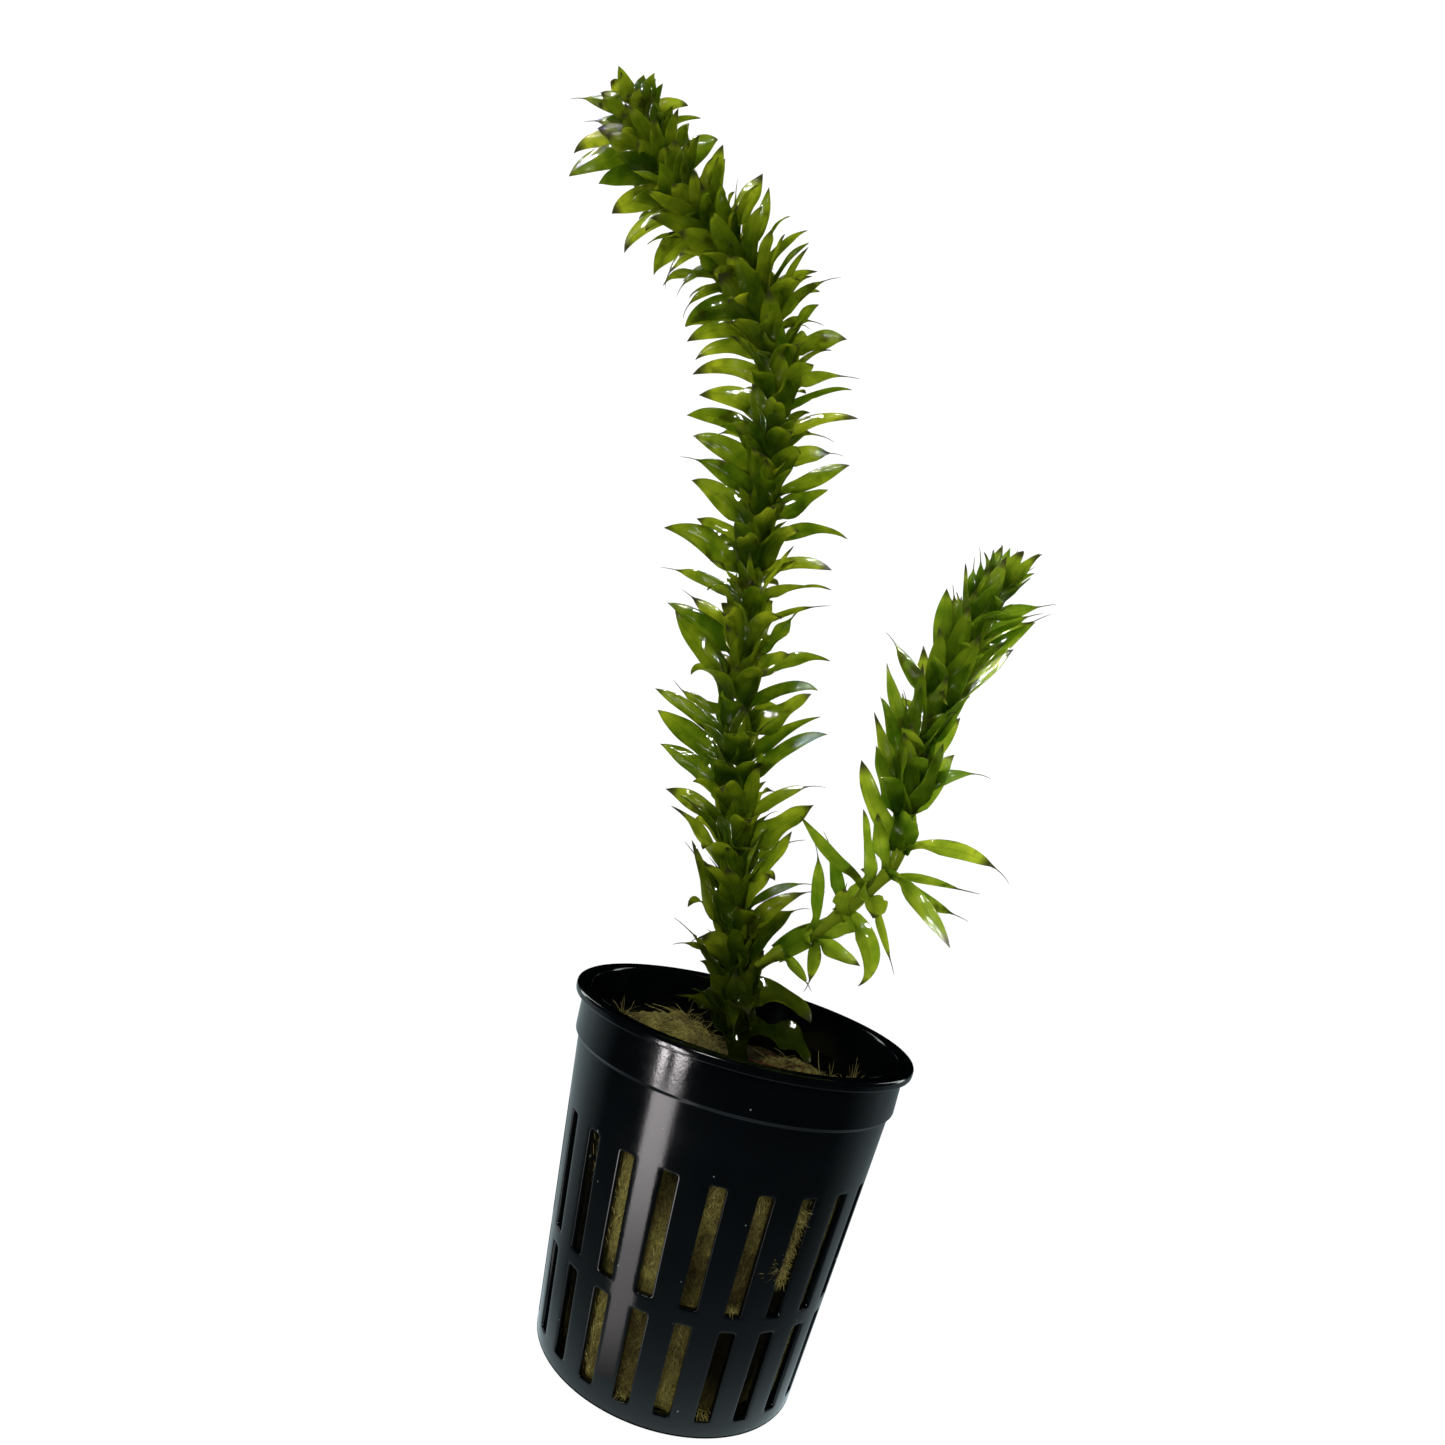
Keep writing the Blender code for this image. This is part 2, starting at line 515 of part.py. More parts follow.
def give_material(piece, name, colour, roughness):
    """Give a piece its own plain material."""
    material = bpy.data.materials.new(name)
    material.use_nodes = True
    shader = material.node_tree.nodes["Principled BSDF"]
    shader.inputs["Base Color"].default_value = (*colour, 1.0)
    shader.inputs["Roughness"].default_value = roughness
    shader.inputs["Metallic"].default_value = 0.0
    piece.data.materials.append(material)


for old in list(bpy.data.objects):
    bpy.data.objects.remove(old)

give_material(make_pot(), "black_plastic", (0.012, 0.015, 0.017), 0.25)
give_material(make_wool(), "mineral_wool", (0.30, 0.25, 0.09), 0.95)
give_material(make_shoot(MAIN_SHOOT), "leaf_green", (0.07, 0.16, 0.01), 0.35)
give_material(make_shoot(SIDE_SHOOT), "young_leaf_green", (0.09, 0.19, 0.01), 0.35)
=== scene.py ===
import math
import random

import bmesh
import bpy
import numpy as np
from mathutils import Euler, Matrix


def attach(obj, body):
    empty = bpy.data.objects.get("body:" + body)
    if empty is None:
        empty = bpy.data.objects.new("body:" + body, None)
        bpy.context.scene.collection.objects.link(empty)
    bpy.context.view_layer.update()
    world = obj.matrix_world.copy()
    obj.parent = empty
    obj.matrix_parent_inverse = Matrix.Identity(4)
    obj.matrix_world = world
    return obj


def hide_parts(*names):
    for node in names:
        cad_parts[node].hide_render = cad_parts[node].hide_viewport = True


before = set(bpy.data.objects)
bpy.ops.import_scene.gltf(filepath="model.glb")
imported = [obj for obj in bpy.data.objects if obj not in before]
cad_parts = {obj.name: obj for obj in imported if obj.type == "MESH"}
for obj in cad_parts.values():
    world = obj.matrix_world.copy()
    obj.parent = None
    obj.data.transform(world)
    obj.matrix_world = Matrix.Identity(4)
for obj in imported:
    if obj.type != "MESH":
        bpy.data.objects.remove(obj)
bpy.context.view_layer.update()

MM = 0.001


# Camera. The plant is seen from close by and from a little above the pot's rim. The camera is tipped
# sideways by 14 degrees, so the upright pot leans in the picture as it does in the photograph.
CAMERA_PLACE = (0.0, -146.9 * MM, 82.3 * MM)
CAMERA_TURN = (93.94, -14.12, 4.58)
CAMERA_LENS = 23.53

camera = bpy.data.objects.new("camera", bpy.data.cameras.new("camera"))
camera.location = CAMERA_PLACE
camera.rotation_euler = Euler([math.radians(angle) for angle in CAMERA_TURN])
camera.data.lens = CAMERA_LENS
camera.data.clip_start = MM
bpy.context.scene.collection.objects.link(camera)
bpy.context.scene.camera = camera


# Studio. A wide white light table lies under the pot in an even white room. A soft lamp stands on the
# left and a tall one behind on each side. Two bare bulbs in front make the wet leaves sparkle. A long
# bright card, a window and the table's own glow are seen only as reflections in the pot's wall.
TABLE_SIZE = 6.0
TABLE_LIT_SHARE = 0.92
# The radius of the pot's base, where the table's reflection in its wall begins
BASE_RADIUS = 19.2 * MM
TABLE_GLOW = 1.03
ROOM_WHITE = "#ffffff"
ROOM_STRENGTH = 1.08
CARD_HEIGHT = 0.6 * MM
CARD_START = (-8.0 * MM, -20.0 * MM)
CARD_HEADING = math.radians(-42)
# Distance along the card, half width there, and brightness
CARD_ROWS = (
    (2 * MM, 2.2 * MM, 0.06), (12 * MM, 4.2 * MM, 0.26), (28 * MM, 7.0 * MM, 0.36),
    (45 * MM, 9.5 * MM, 0.7), (62 * MM, 12.0 * MM, 1.0), (84 * MM, 15.0 * MM, 1.0),
)
# The window's near and far ends and the two edges of each of its panes, along and across the card
WINDOW_ENDS = (92 * MM, 230 * MM)
WINDOW_PANES = ((-13 * MM, -3 * MM), (8 * MM, 24 * MM))
WINDOW_BRIGHTNESS = 3.6
# How brightly the table shows in the wall close to the pot, a little further off, and behind it
TABLE_NEAR = (0.75, 5 * MM)
TABLE_FURTHER = (0.30, 26 * MM)
TABLE_BEHIND = 0.42
# The turns from the front between which that back part comes in, and its share on the right
TABLE_BEHIND_TURNS = (1.4, 2.0)
TABLE_BEHIND_RIGHT = 0.5
TABLE_SEEN = 0.45
GLOW_RINGS, GLOW_TURNS = 16, 73
TABLE_COLOUR = "#dcf2f8"
CARD_COLOUR = "#ece6e8"
CARD_STRENGTH = 9.0
LAMP_AIM = (0.0, 0.0, 90 * MM)
# Each lamp: name, place, width, height, watts and colour
LAMPS = (
    ("front_lamp", (-0.16, -0.50, 0.36), 0.12, 0.16, 1.2, "#fffdf8"),
    ("bare_bulb_0", (-0.18, -0.50, 0.34), 0.045, 0.14, 38.0, "#fffdf8"),
    ("bare_bulb_1", (0.03, -0.50, 0.20), 0.045, 0.14, 38.0, "#fffdf8"),
    ("back_left_lamp", (-0.55, 0.42, 0.22), 0.12, 0.55, 0.9, "#eefaf6"),
    ("back_right_lamp", (0.55, 0.42, 0.22), 0.12, 0.55, 0.9, "#eefaf6"),
)


def linear(hex_code):
    """Return an sRGB hex colour as linear red, green, blue and full opacity."""
    share = np.array([int(hex_code[start:start + 2], 16) for start in (1, 3, 5)]) / 255
    light = np.where(share <= 0.04045, share / 12.92, ((share + 0.055) / 1.055) ** 2.4)
    return (*light.tolist(), 1.0)


def add_node(tree, kind, inputs, **settings):
    """Add a shader node, set its properties, and fill its inputs, by name or number.

    An input takes a value, another node's socket, or a node, whose first socket in use is linked."""
    node = tree.nodes.new("ShaderNode" + kind)
    for name, value in settings.items():
        setattr(node, name, value)
    for key, value in inputs.items():
        if isinstance(value, bpy.types.Node):
            value = next(socket for socket in value.outputs if socket.enabled)
        if isinstance(value, bpy.types.NodeSocket):
            tree.links.new(value, node.inputs[key])
        else:
            node.inputs[key].default_value = value
    return node


def new_material(name):
    """Return a new material and its empty node tree."""
    material = bpy.data.materials.new(name)
    material.use_nodes = True
    material.node_tree.nodes.clear()
    return material, material.node_tree


def add_piece(name, points, face_groups, material, **values):
    """Make a smooth mesh object from arrays of points and of faces, one group per number of corners.

    Each extra value is stored on the points under its own name, for the material to read."""
    mesh = bpy.data.meshes.new(name)
    mesh.vertices.add(len(points))
    mesh.vertices.foreach_set("co", points.astype(np.float32).ravel())
    corners = np.concatenate([faces.ravel() for faces in face_groups]).astype(np.int32)
    sizes = np.concatenate([np.full(len(faces), faces.shape[1]) for faces in face_groups])
    mesh.loops.add(len(corners))
    mesh.loops.foreach_set("vertex_index", corners)
    mesh.polygons.add(len(sizes))
    mesh.polygons.foreach_set("loop_start", (np.cumsum(sizes) - sizes).astype(np.int32))
    mesh.update(calc_edges=True)
    mesh.shade_smooth()
    for value_name, value in values.items():
        stored = mesh.attributes.new(value_name, "FLOAT", "POINT")
        stored.data.foreach_set("value", np.ravel(value).astype(np.float32))
    mesh.materials.append(material)
    piece = bpy.data.objects.new(name, mesh)
    bpy.context.scene.collection.objects.link(piece)
    return piece


white_table, tree = new_material("white_light_table")
frosted = add_node(tree, "BsdfDiffuse", {"Color": linear("#f9f9f8")})
lit = add_node(tree, "Emission", {"Color": linear("#ffffff"), "Strength": TABLE_GLOW})
surface = add_node(tree, "MixShader", {0: TABLE_LIT_SHARE, 1: frosted, 2: lit})
add_node(tree, "OutputMaterial", {"Surface": surface})
half = TABLE_SIZE / 2
floor = add_piece(
    "floor", np.array([(-half, -half, 0), (half, -half, 0), (half, half, 0), (-half, half, 0)]),
    [np.array([[0, 1, 2, 3]])], white_table,
)
floor.visible_glossy = False


def even_glow(name, hue, strength):
    """An evenly lit sheet: its brightness at each point times one strength."""
    material, tree = new_material(name)
    brightness = add_node(tree, "Attribute", {}, attribute_name="brightness").outputs["Fac"]
    power = add_node(tree, "Math", {0: brightness, 1: strength}, operation="MULTIPLY")
    glow = add_node(tree, "Emission", {"Color": linear(hue), "Strength": power})
    add_node(tree, "OutputMaterial", {"Surface": glow})
    return material


ahead = np.array([math.sin(CARD_HEADING), -math.cos(CARD_HEADING)])
sideways = np.array([-ahead[1], ahead[0]])
on_card = [(far, side * half, bright) for far, half, bright in CARD_ROWS for side in (-1, 1)]
on_card += [(far, across, WINDOW_BRIGHTNESS)
            for pane in WINDOW_PANES for far in WINDOW_ENDS for across in pane]
far, across, bright = np.array(on_card).T
corners = np.column_stack([np.array(CARD_START) + far[:, None] * ahead + across[:, None] * sideways,
                           np.full(len(far), CARD_HEIGHT)])
# The first corner of each of the card's five stretches and of the two panes
first = np.array([0, 2, 4, 6, 8, 12, 16])
card = add_piece("card", corners, [np.stack([first, first + 2, first + 3, first + 1], -1)],
                 even_glow("glowing_card", CARD_COLOUR, CARD_STRENGTH), brightness=bright)

away, around = np.meshgrid(np.geomspace(0.1 * MM, TABLE_SEEN, GLOW_RINGS),
                           np.linspace(-math.pi, math.pi, GLOW_TURNS), indexing="ij")
radius = BASE_RADIUS + away
behind = (np.interp(np.abs(around), TABLE_BEHIND_TURNS, (0, 1))
          * np.where(around < 0, 1, TABLE_BEHIND_RIGHT))
bright = TABLE_BEHIND * behind
for strength, reach in (TABLE_FURTHER, TABLE_NEAR):
    bright = bright + strength * np.exp(-away / reach)
corners = np.stack([radius * np.sin(around), -radius * np.cos(around),
                    np.full(away.shape, CARD_HEIGHT / 2)], -1)
corner = np.arange(away.size).reshape(away.shape)
quads = np.stack([corner[:-1, :-1], corner[1:, :-1], corner[1:, 1:], corner[:-1, 1:]], -1).reshape(-1, 4)
table_glow = add_piece("table_glow", corners.reshape(-1, 3), [quads],
                       even_glow("glowing_table", TABLE_COLOUR, 1.0), brightness=bright.ravel())
for shine in (card, table_glow):
    shine.visible_camera = False
    shine.visible_diffuse = False
    shine.visible_transmission = False
    shine.visible_shadow = False

room = bpy.data.worlds.new("room")
bpy.context.scene.world = room
room.use_nodes = True
room.node_tree.nodes["Background"].inputs["Color"].default_value = linear(ROOM_WHITE)
room.node_tree.nodes["Background"].inputs["Strength"].default_value = ROOM_STRENGTH
room.cycles_visibility.glossy = False
bpy.context.scene.view_settings.view_transform = "Standard"

wet_leaves = bpy.data.collections.new("wet_leaves")
for name, place, width, height, watts, hue in LAMPS:
    lamp = bpy.data.lights.new(name, "AREA")
    lamp.shape = "RECTANGLE"
    lamp.size = width
    lamp.size_y = height
    lamp.energy = watts
    lamp.color = linear(hue)[:3]
    stand = bpy.data.objects.new(name, lamp)
    stand.location = place
    towards = np.array(LAMP_AIM) - place
    stand.rotation_euler = (
        math.atan2(math.hypot(towards[0], towards[1]), -towards[2]), 0.0,
        math.atan2(towards[1], towards[0]) - math.pi / 2,
    )
    bpy.context.scene.collection.objects.link(stand)
    if name.startswith("bare_bulb"):
        stand.visible_diffuse = False
        stand.visible_transmission = False
        stand.light_linking.receiver_collection = wet_leaves


# Net pot. A thin cup of black polypropylene, injection moulded, with a flat lip, a collar above a
# small step, and two rows of upright slots that let water through to the rock wool.
POT_HEIGHT = 49.6 * MM
LIP_RADIUS = 26.0 * MM
LIP_DEPTH = 1.3 * MM
COLLAR_RADIUS = 24.7 * MM
STEP_HEIGHT = 42.3 * MM
STEP_RADIUS = 23.9 * MM
STEP_RISE = 0.5 * MM
WALL = 1.0 * MM
POT_FLOOR = 1.2 * MM
SLOTS_AROUND = 22
SLOT_WIDTH = 2.3 * MM
# The foot and head of each row of slots, and the two radii between which the drain holes lie
LOWER_SLOT = (2.4 * MM, 14.6 * MM)
UPPER_SLOT = (16.7 * MM, 33.1 * MM)
FLOOR_HOLE = (8.0 * MM, 15.5 * MM)
FIRST_SLOT_TURN = math.radians(5.07)
SLOT_TURNS = FIRST_SLOT_TURN + math.tau * np.arange(SLOTS_AROUND) / SLOTS_AROUND
SLOT_CORNER = 0.45 * MM
SLOT_EDGE = 0.08 * MM
SLOT_MARGIN = 1.0 * MM
# Points round a slot: along its long side, round a corner and along its short side
LONG_STEPS, CORNER_STEPS, SHORT_STEPS = 8, 6, 4


def wall_radius(height):
    """Return the radius of the pot's tapered outer wall at a height below the step."""
    return BASE_RADIUS + (STEP_RADIUS - BASE_RADIUS) * height / STEP_HEIGHT


def on_wall(turn, radius, height):
    """Return points at a turn from the front round the pot's axis, a radius and a height."""
    return np.stack(np.broadcast_arrays(radius * np.sin(turn), -radius * np.cos(turn), height), axis=-1)


def grid_faces(rows, columns):
    """Return the quads of a grid of points, row by row, that isn't closed either way."""
    row, column = np.meshgrid(np.arange(rows - 1), np.arange(columns - 1), indexing="ij")
    corner = row * columns + column
    return np.stack([corner, corner + 1, corner + columns + 1, corner + columns], -1).reshape(-1, 4)


def slot_outline(low, high):
    """Return a slot's outline as distances across and heights, anticlockwise from the right side's foot.

    A small disc as large as the corner's rounding runs round inside the slot with its edge on the
    outline, and the outline's point is the disc's middle plus its radius in the way that it faces."""
    inner = SLOT_WIDTH / 2 - SLOT_CORNER
    stops = np.cumsum([0] + [LONG_STEPS, CORNER_STEPS, SHORT_STEPS, CORNER_STEPS] * 2)
    place = np.arange(stops[-1] + 1)
    facing = np.interp(place, stops, np.radians([0, 0, 90, 90, 180, 180, 270, 270, 360]))
    middle = np.interp(place, stops, [inner, inner, inner, -inner, -inner, -inner, -inner, inner, inner])
    low, high = low + SLOT_CORNER, high - SLOT_CORNER
    level = np.interp(place, stops, [low, high, high, high, high, low, low, low, low])
    return middle + SLOT_CORNER * np.cos(facing), level + SLOT_CORNER * np.sin(facing)


def slot_frame(low, high, foot, head):
    """Return the edge of the field round a slot: a turn and a height for each point of its outline."""
    inner = SLOT_WIDTH / 2 - SLOT_CORNER
    edge = math.pi / SLOTS_AROUND
    head_turn, foot_turn = inner / wall_radius(head), inner / wall_radius(foot)
    half_corner = CORNER_STEPS / 2
    half_way = [LONG_STEPS, half_corner, half_corner, SHORT_STEPS, half_corner, half_corner]
    stops = np.cumsum([0] + half_way * 2)
    place = np.arange(stops[-1] + 1)
    low, high = low + SLOT_CORNER, high - SLOT_CORNER
    turn = np.interp(place, stops, [edge, edge, edge, head_turn, -head_turn, -edge, -edge,
                                    -edge, -edge, -foot_turn, foot_turn, edge, edge])
    height = np.interp(place, stops, [low, high, head, head, head, head, high,
                                      low, foot, foot, foot, foot, low])
    return turn, height


def slot_fields(low, high, foot, head):
    """Return the points of the wall round one row of slots, as points[slot, row, place].

    Each row of points lies a share of the way from the slot's outline to the edge of its field, and
    at a depth in the wall. The rows run from the field's edge outside, over the slot's rounded rim,
    through the wall and back to the field's edge inside."""
    share = np.array([1, 0.5, 0.14, 0.04, 0, 0, 0.04, 0.14, 0.5, 1])[:, None]
    into_rim = np.array([0, 0, 0, SLOT_EDGE * 0.3, SLOT_EDGE])
    depth = np.concatenate([into_rim, WALL - into_rim[::-1]])[:, None]
    across, level = slot_outline(low, high)
    edge_turn, edge_level = slot_frame(low, high, foot, head)
    turn = (across / wall_radius(level)) * (1 - share) + edge_turn * share
    height = level * (1 - share) + edge_level * share
    return on_wall(SLOT_TURNS[:, None, None] + turn, wall_radius(height) - depth, height)


def column_turns(height):
    """Return the turns of the points that run round the pot above and below the slots."""
    inner = (SLOT_WIDTH / 2 - SLOT_CORNER) / wall_radius(height)
    half_corner = CORNER_STEPS // 2
    stops = np.cumsum([0, half_corner, SHORT_STEPS, half_corner])
    edge = math.pi / SLOTS_AROUND
    turn = np.interp(np.arange(stops[-1]), stops, [-edge, -inner, inner, edge])
    return (SLOT_TURNS[:, None] + turn).ravel()


def soften(corners, cuts, steps=4):
    """Return an outline with each inner corner replaced by a curve between its two sides.

    The curve is the quadratic one that leaves each side at a set distance from the corner."""
    corners = np.array(corners)
    cut = np.array(cuts)[:, None]
    back, ahead = corners[:-2] - corners[1:-1], corners[2:] - corners[1:-1]
    start = corners[1:-1] + back / np.linalg.norm(back, axis=1, keepdims=True) * cut
    end = corners[1:-1] + ahead / np.linalg.norm(ahead, axis=1, keepdims=True) * cut
    t = np.linspace(0, 1, steps + 1)[None, :, None]
    curve = (1 - t) ** 2 * start[:, None] + 2 * t * (1 - t) * corners[1:-1, None] + t ** 2 * end[:, None]
    return np.concatenate([corners[:1], curve.reshape(-1, 2), corners[-1:]])


def turned_rings(profile, turns):
    """Return a profile of radii and heights carried right round the pot's axis: points[ring, turn]."""
    turns = np.append(turns, turns[0] + math.tau)
    return on_wall(turns[None, :], profile[:, :1], profile[:, 1:])


def net_pot_mesh(material):
    """Build the pot from the fields round its slots, the lip above and the pierced floor below."""
    foot, head = LOWER_SLOT[0] - SLOT_MARGIN, UPPER_SLOT[1] + SLOT_MARGIN
    bar = (LOWER_SLOT[1] + UPPER_SLOT[0]) / 2
    grids = [*slot_fields(*LOWER_SLOT, foot, bar), *slot_fields(*UPPER_SLOT, bar, head)]

    above_step, lip_bottom = STEP_HEIGHT + STEP_RISE, POT_HEIGHT - LIP_DEPTH
    lip = soften(
        [(wall_radius(head), head), (STEP_RADIUS, STEP_HEIGHT), (COLLAR_RADIUS - 0.2 * MM, above_step),
         (COLLAR_RADIUS, lip_bottom), (LIP_RADIUS - 0.1 * MM, lip_bottom), (LIP_RADIUS, POT_HEIGHT),
         (COLLAR_RADIUS - WALL, POT_HEIGHT), (COLLAR_RADIUS - WALL - 0.1 * MM, lip_bottom),
         (STEP_RADIUS - WALL, above_step), (STEP_RADIUS - WALL, STEP_HEIGHT),
         (wall_radius(head) - WALL, head)],
        np.array([0.15, 0.15, 0.2, 0.3, 0.55, 0.5, 0.3, 0.2, 0.15]) * MM,
    )
    grids.append(turned_rings(lip, column_turns(head)))
    turns = column_turns(foot)
    outside = soften([(wall_radius(foot), foot), (BASE_RADIUS, 0), (FLOOR_HOLE[1], 0)], [0.4 * MM])
    inside = soften([(wall_radius(foot) - WALL, foot), (BASE_RADIUS - WALL, POT_FLOOR),
                     (FLOOR_HOLE[1], POT_FLOOR)], [0.15 * MM])
    grids += [turned_rings(outside, turns), turned_rings(inside, turns)]
    points = np.concatenate([grid.reshape(-1, 3) for grid in grids])
    starts = np.cumsum([0] + [grid.shape[0] * grid.shape[1] for grid in grids])
    faces = [grid_faces(*grid.shape[:2]) + start for grid, start in zip(grids, starts)]

    # The floor inside the outer ring: two levels of points at the holes' two radii and the middle
    ring = turned_rings(np.array([(FLOOR_HOLE[1], 0), (FLOOR_HOLE[0], 0),
                                  (FLOOR_HOLE[1], POT_FLOOR), (FLOOR_HOLE[0], POT_FLOOR)]), turns)
    columns = ring.shape[1]
    corner = np.arange(columns - 1) + len(points)
    wide, narrow, wide_top, narrow_top = (corner + columns * row for row in range(4))
    middle = np.array([(0, 0, 0), (0, 0, POT_FLOOR)])
    under_middle = len(points) + 4 * columns
    half_rib = CORNER_STEPS // 2
    column = np.arange(columns - 1)
    slot, step = column // (2 * half_rib + SHORT_STEPS), column % (2 * half_rib + SHORT_STEPS)
    hole = ((slot % 2 == 0) & (step >= half_rib + SHORT_STEPS)) | ((slot % 2 == 1) & (step < half_rib))
    starts_hole = hole & ~np.roll(hole, 1)
    ends_hole = hole & ~np.roll(hole, -1)
    faces += [
        np.stack([left, left + 1, right + 1, right], -1)[chosen] for left, right, chosen in (
            (wide, narrow, ~hole), (wide_top, narrow_top, ~hole),
            (wide, wide_top, hole), (narrow, narrow_top, hole))
    ]
    faces += [np.stack([wide, narrow, narrow_top, wide_top], -1)[starts_hole],
              np.stack([wide, narrow, narrow_top, wide_top], -1)[ends_hole] + 1]
    fans = [np.stack([edge, edge + 1, np.full_like(edge, centre)], -1)
            for edge, centre in ((narrow, under_middle), (narrow_top, under_middle + 1))]
    points = np.concatenate([points, ring.reshape(-1, 3), middle])
    pot = add_piece("net_pot_moulding", points, [np.concatenate(faces), np.concatenate(fans)], material)

    mesh = bmesh.new()
    mesh.from_mesh(pot.data)
    bmesh.ops.remove_doubles(mesh, verts=mesh.verts, dist=0.002 * MM)
    bmesh.ops.recalc_face_normals(mesh, faces=mesh.faces)
    mesh.to_mesh(pot.data)
    mesh.free()
    return pot


def black_polypropylene():
    """Moulded black polypropylene: blue-black, satin, with faint flow marks and dust from the tank."""
    material, tree = new_material("black_polypropylene")
    place = add_node(tree, "TexCoord", {}).outputs["Object"]
    cloud = add_node(tree, "TexNoise", {"Vector": place, "Scale": 1 / (9 * MM), "Detail": 3.0})
    tint = add_node(tree, "Mix", {0: cloud, 6: linear("#010203"), 7: linear("#040608")},
                    data_type="RGBA")
    speck = add_node(tree, "TexVoronoi", {"Vector": place, "Scale": 1 / (2.6 * MM)})
    patchy = add_node(tree, "TexNoise", {"Vector": place, "Scale": 1 / (6 * MM), "Detail": 2.0})
    size = add_node(tree, "MapRange", {"Value": patchy, 1: 0.44, 2: 0.75, 3: 0.0, 4: 0.10})
    dust = add_node(tree, "Math", {0: speck, 1: size}, operation="LESS_THAN")
    colour = add_node(tree, "Mix", {0: dust, 6: tint, 7: linear("#55605e")}, data_type="RGBA")
    smear = add_node(tree, "TexNoise", {"Vector": place, "Scale": 1 / (4 * MM), "Detail": 5.0})
    rough = add_node(tree, "MapRange", {"Value": smear, 1: 0.3, 2: 0.7, 3: 0.09, 4: 0.16})
    grain = add_node(tree, "TexNoise", {"Vector": place, "Scale": 1 / (0.35 * MM), "Detail": 2.0})
    relief = add_node(tree, "Bump", {"Height": grain, "Strength": 0.36, "Distance": 0.02 * MM})
    shader = add_node(tree, "BsdfPrincipled", {
        "Base Color": colour, "Roughness": rough, "IOR": 1.49,
        "Specular IOR Level": 0.45, "Normal": relief,
    })
    add_node(tree, "OutputMaterial", {"Surface": shader})
    return material


net_pot = net_pot_mesh(black_polypropylene())
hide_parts("net_pot")
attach(net_pot, "root")


# Rock wool. A torn handful of spun stone fibre pushed down into the pot round the stem. It has gone
# olive and brown in the water. Its fibres stand off its top in tufts and poke out through the slots.
WOOL_GAP = 0.3 * MM
WOOL_TOP = 40.3 * MM
WOOL_SHOULDER = 2.0 * MM
WOOL_FOOT_INSET = 0.7 * MM
WOOL_SIDES = 264
# The wool's relief: the wavelength, height in millimetres and random seed of each set of ripples, and
# how much of it there is on the side, where it only goes inwards
WOOL_RELIEF = ((5 * MM, 0.5, 1), (2.2 * MM, 0.35, 2), (0.9 * MM, 0.2, 3))
SIDE_RELIEF = 0.35
# Rings of points up the wool's side, in over its top and down its hole
SIDE_RINGS, TOP_RINGS, HOLE_RINGS = 90, 43, 7
STEM_HOLE_RADIUS = 2.1 * MM
STEM_HOLE_BOTTOM = 19.5 * MM
STEM_HOLE_X = 1.2 * MM
# Each lump on top of the wool: x, y, height above the plain top, half width
WOOL_LUMPS = (
    (-10.5 * MM, 7.5 * MM, 5.0 * MM, 4.6 * MM),
    (9.5 * MM, 8.0 * MM, 2.4 * MM, 3.8 * MM),
    (-18.5 * MM, 4.5 * MM, 2.2 * MM, 2.6 * MM),
    (18.5 * MM, 3.0 * MM, 2.4 * MM, 3.0 * MM),
    (8.0 * MM, -9.0 * MM, 2.0 * MM, 4.0 * MM),
    (-9.0 * MM, -9.5 * MM, 1.6 * MM, 4.0 * MM),
)
# Hollows where the wool has sunk back from the wall: turn from the front in degrees, and height, half
# width, half height and depth in millimetres
WOOL_HOLLOWS = (
    (-61, 18, 4.0, 20, 3.0), (-44, 8, 2.5, 8, 1.7), (-44, 21, 2.5, 7, 1.0), (-26, 16, 2.5, 2, 1.4),
    (-11, 31, 3.0, 6, 1.9), (-11, 9, 3.0, 7, 1.2), (6, 25, 1.2, 2, 1.2), (5, 19, 2.5, 4, 1.5),
    (5, 9, 2.5, 6, 0.7), (21, 9, 3.0, 7, 2.0), (21, 24, 3.0, 6, 1.0), (38, 9, 4.0, 8, 2.8),
    (56, 15, 5.0, 14, 2.8), (100, 20, 8, 12, 1.4), (170, 15, 8, 10, 1.6), (-110, 18, 8, 12, 1.6),
)
# Tufts that poke out through the slots: turn, height, reach to each side and upwards, length, lean to
# the right, and strands
WOOL_TUFTS = (
    (37.8, 26.0, 0.7, 5.0, 0.7, -0.2, 340), (37.8, 23.0, 0.4, 0.6, 2.2, -1.1, 150),
    (37.8, 23.5, 0.6, 2.5, 1.4, -0.6, 110), (37.8, 30.5, 0.6, 1.0, 0.9, 0.2, 40),
    (21.4, 17.6, 0.8, 0.5, 0.3, -0.1, 60), (21.4, 3.2, 0.8, 0.5, 0.1, 0.1, 40),
    (-11.3, 3.0, 0.8, 0.3, 0.1, 0.0, 60), (5.1, 31.5, 0.9, 1.0, 0.5, 0.0, 60),
)
# How thin the strands in and through the slots are beside those on top
FINENESS = {"wool_slot_fibres": 0.62, "wool_tufts": 0.45}
# How far from the pot's axis a strand on top may start, and how far out it may reach
STRAND_START_LIMIT, STRAND_LIMIT = 21.0 * MM, 21.8 * MM
# Wisps that stand up from the wool's top: x, y, spread and strands
WOOL_WISPS = ((18.0, 3.5, 1.2, 46), (-19.0, 4.0, 0.8, 26), (14.5, 6.0, 1.2, 26), (-7.0, 9.0, 2.2, 60))
ROOT_THREADS = 9
ROOT_PLACE = (9.0 * MM, 6.5 * MM)
ROOT_SPREAD = 1.4 * MM
ROOT_RADIUS = 0.11 * MM
# Hollows as deep as this get the full painted shade: the wool is painted darker the further it has sunk
# back behind the wall
FULL_SHADE_DEPTH = 2.2 * MM
